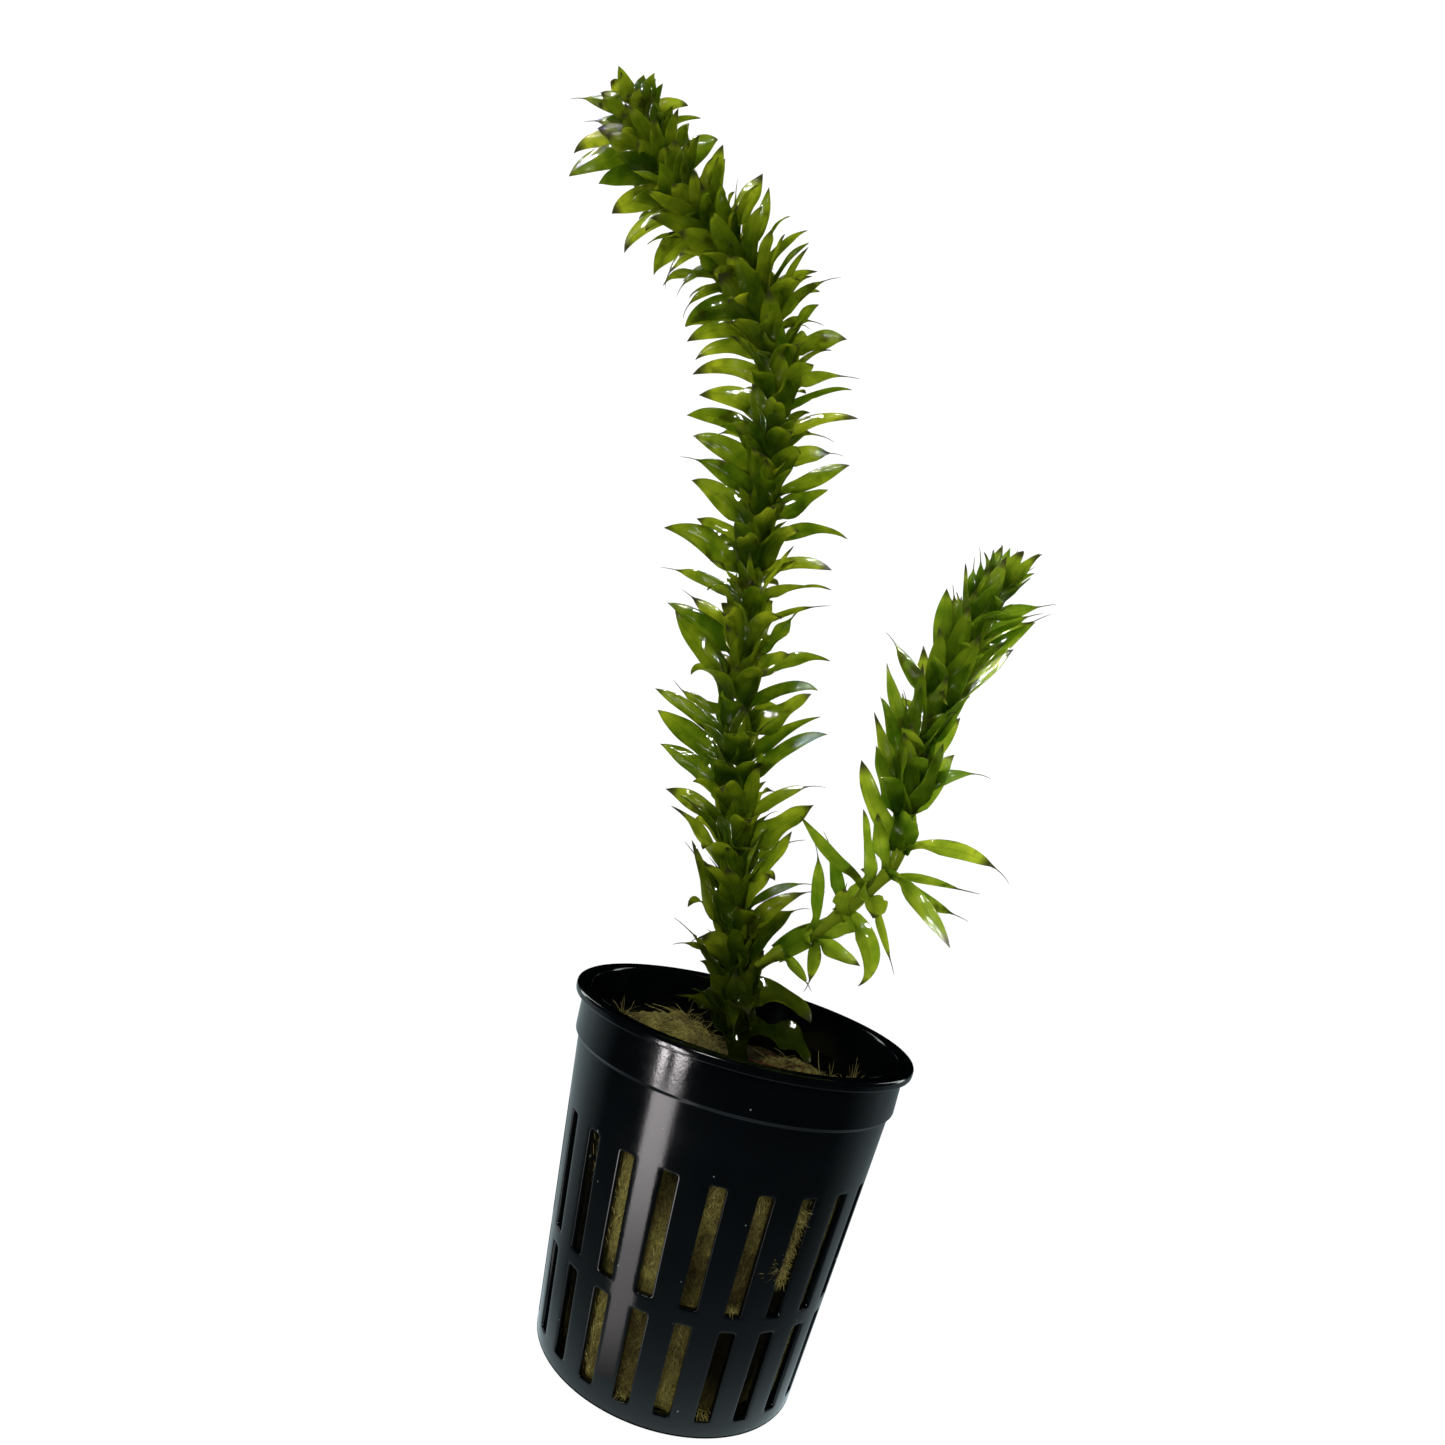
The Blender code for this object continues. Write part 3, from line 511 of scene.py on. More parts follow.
# How dark the painted shade on the top is between its lumps, how much lighter it is painted on them,
# where that begins and over what rise, and how much darker the painted shade in the dips of the relief
# is
TOP_PAINTED_SHADE, LUMPS_LIGHTER, LIGHTENING_FROM, LIGHTENING_RISE, DIPS_PAINTED_SHADE = 0.94, 0.66, 0.3 * MM, 1.5 * MM, 0.22
FIBRE_RADIUS = 0.045 * MM
TOP_FIBRES = 2600
# Strands behind and in each slot
SLOT_FIBRES = 105
# The shortest and longest strands on top, in the slots and in the wisps, and the roots, in millimetres
TOP_LENGTHS, SLOT_LENGTHS, WISP_LENGTHS, ROOT_LENGTHS = (1.2, 4.5), (0.8, 3.0), (1.5, 4.2), (3, 6)
# How pale the plug itself is, from 0, stained, to 1, straw
PLUG_SHADE = 0.12
# The last fibre colour is the near black of the painted shade
PALE_FIBRE, OLIVE_FIBRE, BROWN_FIBRE, SHADED_FIBRE = "#c0b56a", "#7c7538", "#52431f", "#1a1604"


def ripples(points, wavelength, seed):
    """Return smooth random relief: the sum of 24 plane waves of one wavelength, in random directions."""
    chance = np.random.default_rng(seed)
    heading = chance.normal(size=(3, 24))
    heading /= np.linalg.norm(heading, axis=0)
    phase = chance.uniform(0, math.tau, 24)
    return np.sin(points @ heading * math.tau / wavelength + phase).sum(axis=-1) / math.sqrt(24)


def wool_height(x, y):
    """Return the height of the wool's top: its plain level plus a bell-shaped mound for each lump."""
    height = np.full(np.shape(x), WOOL_TOP)
    for lump_x, lump_y, rise, half_width in WOOL_LUMPS:
        height = height + rise * np.exp(-((x - lump_x) ** 2 + (y - lump_y) ** 2) / (2 * half_width ** 2))
    return height


def top_painted_shade(height):
    """Return the painted shade on the wool's top: nearly black between the lumps, and lighter the higher
    it is.
    """
    return TOP_PAINTED_SHADE - LUMPS_LIGHTER * np.clip((height - WOOL_TOP - LIGHTENING_FROM) / LIGHTENING_RISE, 0, 1)


def wool_hollow(turn, height):
    """Return how far the wool has sunk back from the wall: the sum of a bell shape for each hollow."""
    depth = np.zeros(np.shape(turn))
    for middle, level, half_width, half_height, deepest in WOOL_HOLLOWS:
        across = (turn - math.radians(middle) + math.pi) % math.tau - math.pi
        across = across * BASE_RADIUS / (half_width * MM)
        up = (height - level * MM) / (half_height * MM)
        depth = depth + deepest * MM * np.exp(-across ** 2 - up ** 2)
    return depth


def closed_tubes(rings, ends):
    """Return the points and faces of closed tubes from rings[tube, ring, side] and two end points each.

    Rings are joined ring to ring and side to side, and the first and last ring close to an end point."""
    tubes, count, sides = rings.shape[:3]
    points = np.concatenate([rings.reshape(tubes, -1, 3), ends], axis=1)
    ring, side = np.meshgrid(np.arange(count - 1) * sides, np.arange(sides), indexing="ij")
    after = (side + 1) % sides
    quads = np.stack([ring + side, ring + after, ring + sides + after, ring + sides + side], -1)
    side, after, last = side[0], after[0], (count - 1) * sides
    end = np.full(sides, count * sides)
    fans = np.concatenate([np.stack([after, side, end], -1),
                           np.stack([last + side, last + after, end + 1], -1)])
    shift = np.arange(tubes)[:, None, None] * points.shape[1]
    return points.reshape(-1, 3), [(quads.reshape(-1, 4) + shift).reshape(-1, 4),
                                   (fans + shift).reshape(-1, 3)]


def spread_value(value, rings, sides):
    """Return one value for each tube, repeated for all of the tube's points."""
    return np.repeat(value, rings * sides + 2)


def wool_plug(material):
    """Build the plug: rings up its side, over its lumpy top and down the hole that holds the stem."""
    turn = math.tau * np.arange(WOOL_SIDES) / WOOL_SIDES
    shoulder = WOOL_TOP - WOOL_SHOULDER
    foot = POT_FLOOR + WOOL_GAP
    edge = wall_radius(shoulder) - WALL - WOOL_GAP
    side_height = np.linspace(foot, shoulder, SIDE_RINGS)
    side_radius = wall_radius(side_height) - WALL - WOOL_GAP
    side_radius = side_radius - WOOL_FOOT_INSET * (side_height < foot + 0.1 * MM)
    share = np.linspace(1, 0, TOP_RINGS + 1)[1:]
    top_radius = STEM_HOLE_RADIUS + (edge - STEM_HOLE_RADIUS) * share
    hole_height = np.linspace(WOOL_TOP, STEM_HOLE_BOTTOM, HOLE_RINGS + 1)[1:]
    radius = np.concatenate([side_radius, top_radius, np.full(HOLE_RINGS, STEM_HOLE_RADIUS)])[:, None]
    middle_x = np.concatenate([np.zeros(SIDE_RINGS), STEM_HOLE_X * (1 - share),
                               np.full(HOLE_RINGS, STEM_HOLE_X)])[:, None]
    x, y = middle_x + radius * np.cos(turn), radius * np.sin(turn)
    on_top = slice(SIDE_RINGS, -HOLE_RINGS)
    height = np.concatenate([
        np.repeat(side_height[:, None], WOOL_SIDES, 1), wool_height(x[on_top], y[on_top]),
        np.repeat(hole_height[:, None], WOOL_SIDES, 1),
    ])
    points = np.stack([x, y, height], axis=-1)
    tufts = sum(ripples(points, wavelength, seed) * rise for wavelength, rise, seed in WOOL_RELIEF)
    side_share = np.concatenate([np.ones(SIDE_RINGS), np.zeros(TOP_RINGS + HOLE_RINGS)])[:, None]
    top_share = np.concatenate([np.zeros(SIDE_RINGS), np.sin(np.pi * share) ** 0.5,
                                np.zeros(HOLE_RINGS)])[:, None]
    points[..., 2] += tufts * top_share * MM
    hollow = wool_hollow(np.arctan2(x, -y), height) * side_share
    inwards = np.minimum(tufts * SIDE_RELIEF - SIDE_RELIEF, 0.0) * MM * side_share - hollow
    points[..., 0] += np.cos(turn) * inwards
    points[..., 1] += np.sin(turn) * inwards
    ends = np.array([[(0, 0, foot), (STEM_HOLE_X, 0, STEM_HOLE_BOTTOM)]])
    corners, faces = closed_tubes(points[None], ends)
    # Painted shade: darker the further the side has sunk back from the wall, and on top between the
    # lumps and in the dips of the relief
    soaked = np.where(side_share > 0, hollow / FULL_SHADE_DEPTH, top_painted_shade(height) - DIPS_PAINTED_SHADE * tufts)
    return add_piece("wool_plug", corners, faces, material, shade=np.full(len(corners), PLUG_SHADE),
                     soaked=np.append(np.clip(soaked, 0, 1), [1, 1]))


def strand_tubes(start, heading, bend, length, radius, stations=6):
    """Return rings and ends of thin three-sided strands.

    A strand's middle line is its start, plus its heading times the way along it, plus its bend times
    the square of the way along it. Its edges stand round that line and draw in at both ends."""
    way = np.linspace(0, 1, stations)[None, :, None]
    line = start[:, None] + (heading[:, None] * way + bend[:, None] * way ** 2) * length[:, None, None]
    along = heading[:, None] + 2 * bend[:, None] * way
    along /= np.linalg.norm(along, axis=-1, keepdims=True)
    side = np.cross(along, np.array([0.31, 0.53, 0.79]))
    side /= np.linalg.norm(side, axis=-1, keepdims=True)
    other = np.cross(along, side)
    turn = math.tau * np.arange(3)[None, None, :, None] / 3
    reach = radius[:, None, None, None] * (1 - 0.6 * np.abs(2 * way - 1) ** 4)[:, :, None]
    round_line = side[:, :, None] * np.cos(turn) + other[:, :, None] * np.sin(turn)
    rings = line[:, :, None] + round_line * reach
    return rings, line[:, [0, -1]]


def rock_wool_fibre():
    """Spun stone fibre, wet and stained: dull, some strands pale straw, most olive or brown with algae.

    It is painted nearly black as shade where it has sunk back from the wall, between the lumps of its
    top and in the dips of its relief."""
    material, tree = new_material("rock_wool_fibre")
    place = add_node(tree, "TexCoord", {}).outputs["Object"]
    shade = add_node(tree, "Attribute", {}, attribute_name="shade").outputs["Fac"]
    soaked = add_node(tree, "Attribute", {}, attribute_name="soaked").outputs["Fac"]
    stain = add_node(tree, "TexNoise", {"Vector": place, "Scale": 1 / (5 * MM), "Detail": 4.0})
    stained = add_node(tree, "MapRange", {"Value": stain, 1: 0.36, 2: 0.62})
    base = add_node(tree, "Mix", {0: stained, 6: linear(BROWN_FIBRE), 7: linear(OLIVE_FIBRE)},
                    data_type="RGBA")
    pale = add_node(tree, "Mix", {0: shade, 6: base, 7: linear(PALE_FIBRE)}, data_type="RGBA")
    thread = add_node(tree, "TexNoise", {"Vector": place, "Scale": 1 / (0.5 * MM), "Detail": 6.0,
                                         "Distortion": 1.5})
    dark = add_node(tree, "MapRange", {"Value": thread, 1: 0.35, 2: 0.6, 3: 0.35})
    unshaded_colour = add_node(tree, "Mix", {0: 1.0, 6: pale, 7: dark}, data_type="RGBA", blend_type="MULTIPLY")
    # Painted shade: the colour is mixed towards near black by the soaked value
    colour = add_node(tree, "Mix", {0: soaked, 6: unshaded_colour, 7: linear(SHADED_FIBRE)}, data_type="RGBA")
    relief = add_node(tree, "Bump", {"Height": thread, "Strength": 0.9, "Distance": 0.3 * MM})
    shader = add_node(tree, "BsdfPrincipled", {
        "Base Color": colour, "Roughness": 0.85, "IOR": 1.5, "Specular IOR Level": 0.1,
        "Normal": relief,
    })
    add_node(tree, "OutputMaterial", {"Surface": shader})
    return material


def inside_pot(start, heading, bend, length, soaked):
    """Return only the strands whose two ends both lie inside the pot's wall."""
    end = start + (heading + bend) * length[:, None]
    reach = np.maximum(np.linalg.norm(start[:, :2], axis=1), np.linalg.norm(end[:, :2], axis=1))
    return [values[reach < STRAND_LIMIT] for values in (start, heading, bend, length, soaked)]


def top_fibres(chance):
    """Return strands scattered over the wool's top that lie all ways, half of them on its lumps."""
    count = TOP_FIBRES
    lump = np.array(WOOL_LUMPS)[chance.integers(0, len(WOOL_LUMPS), count)]
    spot = np.where(chance.random(count)[:, None] < 0.5,
                    lump[:, :2] + chance.normal(size=(count, 2)) * lump[:, 3:],
                    chance.uniform(-20, 20, (count, 2)) * MM)
    radius = np.maximum(np.linalg.norm(spot, axis=1), 0.1 * MM)
    spot = spot * np.minimum(1, STRAND_START_LIMIT / radius)[:, None]
    around = chance.uniform(0, math.tau, count)
    rise = chance.uniform(-0.1, 0.75, count) ** 2
    heading = np.stack([np.cos(around), np.sin(around), rise], -1)
    length = chance.uniform(*TOP_LENGTHS, count) * MM
    start = np.column_stack([spot, wool_height(spot[:, 0], spot[:, 1]) - 0.2 * MM])
    start[:, :2] -= heading[:, :2] * length[:, None] / 2
    bend = chance.normal(size=(count, 3)) * 0.25
    bend[:, 2] = -np.abs(bend[:, 2]) * 0.8 - rise * 0.3
    # The last value is the painted shade of the top under each strand
    return inside_pot(start, heading, bend, length, top_painted_shade(wool_height(spot[:, 0], spot[:, 1])))


def slot_fibres(chance):
    """Return strands that lie behind and in each slot of the pot, mostly upright and a little askew.

    They are cut so that one that leans ends by the slot's side, and each ends by the slot's head."""
    slot = np.repeat(np.arange(SLOTS_AROUND * 2), SLOT_FIBRES)
    count = len(slot)
    low = np.where(slot % 2 == 0, LOWER_SLOT[0], UPPER_SLOT[0])
    high = np.where(slot % 2 == 0, LOWER_SLOT[1], UPPER_SLOT[1])
    height = low + (high - low) * chance.uniform(0.02, 0.92, count)
    turn = SLOT_TURNS[slot // 2]
    across = chance.uniform(-0.9, 0.9, count) * MM
    hollow = wool_hollow(turn, height)
    depth = chance.uniform(0.35, 1.4, count) * MM + hollow
    radius = wall_radius(height) - depth
    start = on_wall(turn + across / radius, radius, height)
    outward, sideways = on_wall(turn, 1.0, 0.0), on_wall(turn + math.pi / 2, 1.0, 0.0)
    lean = chance.normal(size=(count, 2)) * np.array([0.7, 0.06])
    heading = sideways * lean[:, :1] + outward * lean[:, 1:] + np.array([0, 0, 1.0])
    heading /= np.linalg.norm(heading, axis=1, keepdims=True)
    length = chance.uniform(*SLOT_LENGTHS, count) * MM
    length = np.minimum(length, (0.95 * MM - np.abs(across)) / (np.abs(lean[:, 0]) + 0.02) + 0.5 * MM)
    length = np.minimum(length, high - height)
    bend = chance.normal(size=(count, 3)) * 0.08
    # The last value is painted shade: darker the further the wool has sunk back behind the slot
    return start, heading, bend, length, np.clip(hollow / FULL_SHADE_DEPTH, 0, 1)


def tuft_fibres(chance):
    """Return the strands of the tufts, which start behind a slot and lean out of it and to one side."""
    kinds = np.repeat(np.arange(len(WOOL_TUFTS)), [tuft[-1] for tuft in WOOL_TUFTS])
    middle, level, beside, above, reach, lean = np.array(WOOL_TUFTS)[kinds, :6].T
    count = len(kinds)
    height = (level + above * chance.uniform(-1, 1, count)) * MM
    turn = np.radians(middle)
    radius = wall_radius(height) - 0.9 * MM
    start = on_wall(turn + beside * chance.uniform(-1, 1, count) * MM / radius, radius, height)
    outward, sideways = on_wall(turn, 1.0, 0.0), on_wall(turn + math.pi / 2, 1.0, 0.0)
    far = chance.uniform(0, 1, count) ** 2
    length = (0.6 + reach * far) * MM
    out = (0.9 + 0.5 * chance.random(count)) * MM / length
    heading = (outward * out[:, None] + sideways * chance.normal(lean, 0.25)[:, None]
               + np.array([0, 0, 1.0]) * chance.normal(-0.1, 0.35, count)[:, None])
    bend = chance.normal(size=(count, 3)) * 0.25 - outward * 0.3 * out[:, None]
    return start, heading, bend, length, np.zeros(count)


def top_wisps(chance):
    """Return the strands of the wisps on top: they rise from their spot, lean to all sides and droop."""
    strands = [wisp[-1] for wisp in WOOL_WISPS]
    x, y, spread = np.repeat(np.array(WOOL_WISPS)[:, :3], strands, axis=0).T * MM
    count = len(x)
    spot = np.stack([x, y], -1) + chance.normal(size=(count, 2)) * spread[:, None] * 0.6
    start = np.column_stack([spot, wool_height(spot[:, 0], spot[:, 1]) - 0.3 * MM])
    heading = chance.normal(size=(count, 3)) * np.array([0.55, 0.55, 0.2]) + np.array([0, 0, 0.8])
    bend = chance.normal(size=(count, 3)) * 0.3 - np.array([0, 0, 0.3])
    length = chance.uniform(*WISP_LENGTHS, count) * MM
    # The last value is a painted shade for each wisp, drawn by chance
    return inside_pot(start, heading, bend, length, chance.uniform(0.1, 0.5, count))


def root_thread():
    """A fine water root: red-brown and wet."""
    material, tree = new_material("root_thread")
    shader = add_node(tree, "BsdfPrincipled", {
        "Base Color": linear("#4a2010"), "Roughness": 0.35, "IOR": 1.4, "Specular IOR Level": 0.3,
    })
    add_node(tree, "OutputMaterial", {"Surface": shader})
    return material


chance = np.random.default_rng(21)
wool_material = rock_wool_fibre()
wool = wool_plug(wool_material)
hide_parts("rock_wool")
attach(wool, "root")
for strand_name, (start, heading, bend, length, soaked) in (
    ("wool_top_fibres", top_fibres(chance)), ("wool_slot_fibres", slot_fibres(chance)),
    ("wool_tufts", tuft_fibres(chance)), ("wool_wisps", top_wisps(chance)),
):
    count = len(length)
    radius = FIBRE_RADIUS * FINENESS.get(strand_name, 1.0) * chance.uniform(0.6, 1.4, count)
    rings, ends = strand_tubes(start, heading, bend, length, radius)
    corners, faces = closed_tubes(rings, ends)
    shade = spread_value(chance.uniform(0, 1, count), *rings.shape[1:3])
    fibres = add_piece(strand_name, corners, faces, wool_material, shade=shade,
                       soaked=spread_value(soaked, *rings.shape[1:3]))
    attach(fibres, "root")
spot = ROOT_PLACE + chance.normal(size=(ROOT_THREADS, 2)) * ROOT_SPREAD
start = np.column_stack([spot, wool_height(spot[:, 0], spot[:, 1]) + 0.4 * MM])
heading = chance.normal(size=(ROOT_THREADS, 3)) * (0.6, 0.3, 0.1) + (-0.2, -0.6, 0.15)
bend = chance.normal(size=(ROOT_THREADS, 3)) * 0.35 - np.array([0, 0, 0.35])
length = chance.uniform(*ROOT_LENGTHS, ROOT_THREADS) * MM
rings, ends = strand_tubes(start, heading, bend, length, np.full(ROOT_THREADS, ROOT_RADIUS))
roots = add_piece("root_threads", *closed_tubes(rings, ends), root_thread())
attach(roots, "root")


# Main shoot. One unbranched stem of waterweed, bent over at its top, with a whorl of five leaves every
# few millimetres. Each leaf is two cells thick, clasps the stem at its foot and arches outwards.
MAIN_ROUTE = (
    (1.2, 0.0, 20.0), (1.2, 0.0, 31.0), (1.0, 0.0, 40.7), (-1.1, 0.0, 48.6), (-4.8, 0.5, 63.1),
    (-9.4, 2.0, 80.9), (-13.0, 3.0, 96.4), (-15.5, 4.0, 112.8), (-17.2, 4.5, 129.1),
    (-18.5, 4.5, 141.1), (-20.5, 3.5, 152.0), (-26.0, 2.0, 161.4), (-33.5, 1.0, 169.1),
    (-41.1, 0.0, 174.2), (-47.2, -1.0, 179.6), (-51.6, -1.5, 185.4), (-54.3, -1.9, 189.0),
)
ROUTE_STEPS = 12
MAIN_RADIUS = 1.7 * MM
TIP_RADIUS = 0.7 * MM
THINNING_FROM = 0.6
STEM_SIDES = 20
STEM_RING_GAP = 0.5 * MM
# A stem's radius between whorls and the swelling at each, as shares, and how far the swelling reaches
STEM_WAIST, STEM_SWELLING, SWELLING_REACH = 0.86, 0.16, 0.8 * MM
STEM_RIB = 0.035
# The stretches over which a stem is drawn in at its foot and at its bud, and its foot's share
FOOT_STRETCH, BUD_STRETCH, STEM_FOOT_SHARE = 4 * MM, 1.5 * MM, 0.45
# Where a leaf springs, as a share of the stem's radius
LEAF_ROOT = 0.8
# How far leaves differ by chance, in degrees and as shares
AZIMUTH_SPREAD = 6
FOOT_SPREAD = 3
TIP_SPREAD = 12
LENGTH_SPREAD = 0.08
WIDTH_SPREAD = 0.1
# How leaves at the front and the back differ from those at the sides
FACING_BEND = 1.2
FACING_FOOT = 0.4
FACING_TIP = 42
FACING_SHORTER = 0.32
FACING_FLATTER = 0.7
# The share of the chance hook and sway that a leaf that stands out keeps
SPECIAL_LOOSE = 0.5
# Leaves that stand out, by whorl number: azimuth (0 front, 90 right), foot and tip angles from the
# stem, length and width in millimetres, and roll
MAIN_SPECIAL = {
    0: ((90, 70, 155, 11.6, 5.0, 20), (-90, 5, 90, 11.5, 2.8, 40)),
    1: ((80, 45, 150, 12.2, 5.3, 40), (0, 60, 165, 8.0, 1.8, 0), (-90, 12, 48, 16.5, 2.4, 50)),
    2: ((125, 20, 78, 17.5, 3.6, 40), (-90, 20, 95, 11.0, 2.2, 50)),
    3: ((90, 22, 85, 16.5, 2.8, 60), (-90, 26, 10, 17.5, 4.0, 60)),
    4: ((90, 35, 95, 13.5, 1.8, 50), (45, 30, 60, 10.0, 3.6, 60), (-90, 20, 40, 14.0, 2.8, 50)),
    5: ((60, 65, 25, 12.5, 2.8, 60), (-90, 22, 42, 16.0, 2.8, 50)),
    6: ((90, 45, 60, 14.0, 4.8, 65), (-90, 20, 50, 13.0, 2.4, 40)),
    7: ((90, 35, 85, 15.5, 2.4, 60), (-90, 45, 65, 12.0, 3.2, 60)),
    8: ((90, 25, 72, 18.0, 3.2, 60), (-90, 40, 55, 14.5, 3.6, 55)),
    9: ((90, 35, 70, 15.5, 3.2, 60), (-90, 42, 54, 15.5, 4.0, 65)),
    10: ((90, 50, 50, 13.5, 4.4, 65), (-90, 45, 60, 15.0, 2.8, 60)),
    11: ((90, 35, 95, 13.5, 3.0, 55), (-90, 80, 35, 11.0, 2.6, 50)),
    12: ((90, 40, 90, 15.0, 3.2, 60), (45, 50, 80, 11.0, 3.8, 60), (-90, 44, 34, 16.0, 3.8, 60)),
    13: ((90, 50, 20, 12.0, 3.8, 60), (-90, 40, 62, 15.0, 4.2, 65)),
    14: ((90, 45, 80, 14.0, 2.4, 50), (-90, 60, 46, 12.0, 2.6, 50)),
    15: ((90, 45, 90, 13.5, 2.8, 60), (45, 45, 35, 12.0, 3.4, 60), (-90, 50, 85, 15.5, 2.4, 50)),
    16: ((90, 40, 105, 13.0, 2.8, 60), (-90, 38, 85, 16.8, 4.8, 65)),
    17: ((90, 35, 105, 15.5, 4.0, 60), (-90, 50, 68, 10.5, 3.2, 60)),
    18: ((90, 45, 52, 12.0, 4.8, 65), (-90, 50, 62, 13.0, 4.4, 65)),
    19: ((90, 58, 50, 14.5, 3.6, 60), (-90, 48, 82, 15.0, 3.8, 60)),
    20: ((90, 40, 90, 12.5, 4.0, 60), (-90, 55, 75, 13.0, 4.2, 65)),
    21: ((80, 40, 90, 14.5, 3.2, 60), (125, 35, 95, 13.5, 2.2, 50), (-80, 45, 110, 14.5, 3.2, 60),
         (-125, 45, 100, 14.0, 2.2, 50)),
    22: ((90, 35, 85, 13.5, 2.8, 60), (-90, 40, 108, 13.0, 3.6, 60)),
    23: ((90, 50, 100, 13.5, 3.0, 60), (-90, 35, 120, 15.0, 3.0, 60), (-45, 38, 48, 12.0, 1.2, 0)),
    24: ((90, 45, 100, 12.0, 4.4, 65), (-90, 30, 120, 14.5, 2.8, 60)),
    25: ((80, 30, 95, 15.0, 3.0, 60), (125, 45, 110, 12.5, 2.4, 50), (-90, 40, 105, 14.0, 3.0, 60)),
    26: ((90, 40, 105, 11.0, 3.6, 60), (45, 30, 60, 12.0, 3.8, 60), (-90, 35, 115, 13.5, 3.8, 60)),
    27: ((90, 50, 88, 12.5, 2.8, 60), (-90, 40, 130, 13.5, 1.8, 50)),
    28: ((90, 68, 28, 13.5, 3.2, 60), (-90, 40, 125, 12.0, 1.6, 50), (-45, 60, 110, 9.0, 3.4, 60)),
    29: ((90, 62, 60, 12.5, 4.4, 65), (-90, 45, 130, 13.0, 2.0, 50)),
    30: ((90, 45, 60, 11.5, 3.8, 60), (-90, 60, 110, 12.0, 3.8, 65)),
    31: ((90, 75, 50, 11.5, 4.2, 65), (-90, 40, 110, 14.0, 2.6, 60)),
    32: ((90, 35, 100, 11.5, 4.4, 60), (-90, 45, 80, 11.5, 4.0, 60)),
    33: ((90, 40, 60, 9.0, 3.6, 60), (-90, 35, 82, 11.5, 3.6, 60)),
    34: ((90, 30, 50, 9.0, 3.4, 60), (-90, 35, 100, 15.5, 3.6, 60)),
    35: ((90, 50, 120, 9.5, 2.8, 60), (-90, 35, 95, 13.5, 2.6, 60)),
    36: ((90, 45, 115, 8.5, 3.6, 60), (-90, 40, 72, 10.0, 2.4, 60)),
    37: ((90, 30, 60, 6.5, 3.6, 60), (-90, 35, 65, 11.5, 2.4, 60), (0, 22, 12, 7.5, 3.2, 0)),
}
# Leaves left out, by whorl number and place round the whorl
MAIN_GONE = {2: (0,)}
LEAF_THICKNESS = 0.17 * MM
# The clasping foot's share of the full width, and how far along the blade is widest
LEAF_BASE_SHARE = 0.80
LEAF_WIDEST = 0.30
# The share of its length over which a leaf hugs the stem, and the angle by which it leans in
LEAF_HUG = (0.24, math.radians(26))
# Where the end's further hook begins and how long it is, and where the foot's roll is complete
HOOK_PLACE = (0.66, 0.34)
ROLLED_BY = 0.34
CLASP_DEPTH = 0.55
# How far in radians the waves along one edge run ahead of the midrib, and along the other behind it
EDGE_LAG = 1.3
HAIR_TIP_RADIUS = 0.10 * MM
MIDRIB_DEPTH = 0.10 * MM
MIDRIB_WIDTH = 0.2
LEAF_STATIONS = 17
LEAF_SIDES = 16
# A hair-thin tail ends some leaves, and every leaf narrower than this, past a share of the length
TAIL_CHANCE, TAIL_BELOW, TAIL_FROM = 0.12, 2.5 * MM, 0.80
# How leaves' shapes vary: the end's hook, sway and twist in degrees, the channel's depth, the waves'
# height and number, and how fast the blade narrows
HOOKS, SWAY_SPREAD, TWIST_SPREAD = (-10, 52), 9, 26
CUPS, WAVE_HEIGHTS, WAVE_COUNTS, TAPERS = (0.12, 0.42), (0.04, 0.34), (0.8, 2.4), (2.0, 3.5)
# The stretch above a shoot's first whorl where leaves are old, crinkled by higher waves and painted dark
# as shade
OLD_AND_SHADED_STRETCH = 20 * MM
OLD_WAVE = 0.5
# How inner leaves vary: the power that sets how late they bend, their widths as shares, and their roll
INNER_BENDS, INNER_WIDTHS, INNER_ROLL = (1.0, 2.0), (0.65, 1.0), 25
# Young inner leaves' tip angles, how much longer they are, and how much wider they and the crown's are
YOUNG_TIPS, YOUNG_LONGER, YOUNG_WIDER = (-5, 30), 0.1, 0.15
# How much further the crown's inner leaves spread, in degrees, how much longer they are, and the share
# of the stem over which the crown comes in
CROWN_TIP, CROWN_FOOT, CROWN_LONGER, CROWN_FADE = 25, 14, 0.3, 0.08


def main_leaf(young):
    """Return a main shoot leaf's foot and tip angles in degrees, and length and width in millimetres."""
    return 28 + 2 * young, 82 - 56 * young, 15.0 - 7.5 * young ** 1.4, 4.2 - 0.8 * young


def main_spacing(number, young):
    """Return the distance to the next whorl on the main shoot."""
    return (4.5 - 2.1 * young) * MM


# A shoot's whorl has places round the stem ("sides"), and every second one holds a leaf. The shoot has a
# first whorl, a bare tip, a share of its length past which leaves are younger, a turn of its first whorl
# and of each next one, a limit to its leaves' roll, and how old its lowest leaves are and how dark they
# are painted as shade. Its inner leaves start at a whorl and have angles in degrees, lengths as shares
# of an outer leaf's, an extra spread when young, and a share of the stem past which they belong to the
# crown.
MAIN_SHOOT = {
    "route": MAIN_ROUTE, "radius": MAIN_RADIUS, "sides": 10, "first": 26.0 * MM, "tip_gap": 0.8 * MM,
    "young_from": 0.78, "turn": math.radians(18), "twist": math.radians(11), "roll": 45, "seed": 5,
    "inner": {"from": 0, "count": 8, "foot": (6, 20), "tip": (10, 70), "length": (0.45, 0.75),
              "spread": 22, "crown": 0.66},
    "old": 0.62,
    "leaf": main_leaf, "spacing": main_spacing, "special": MAIN_SPECIAL, "gone": MAIN_GONE,
}


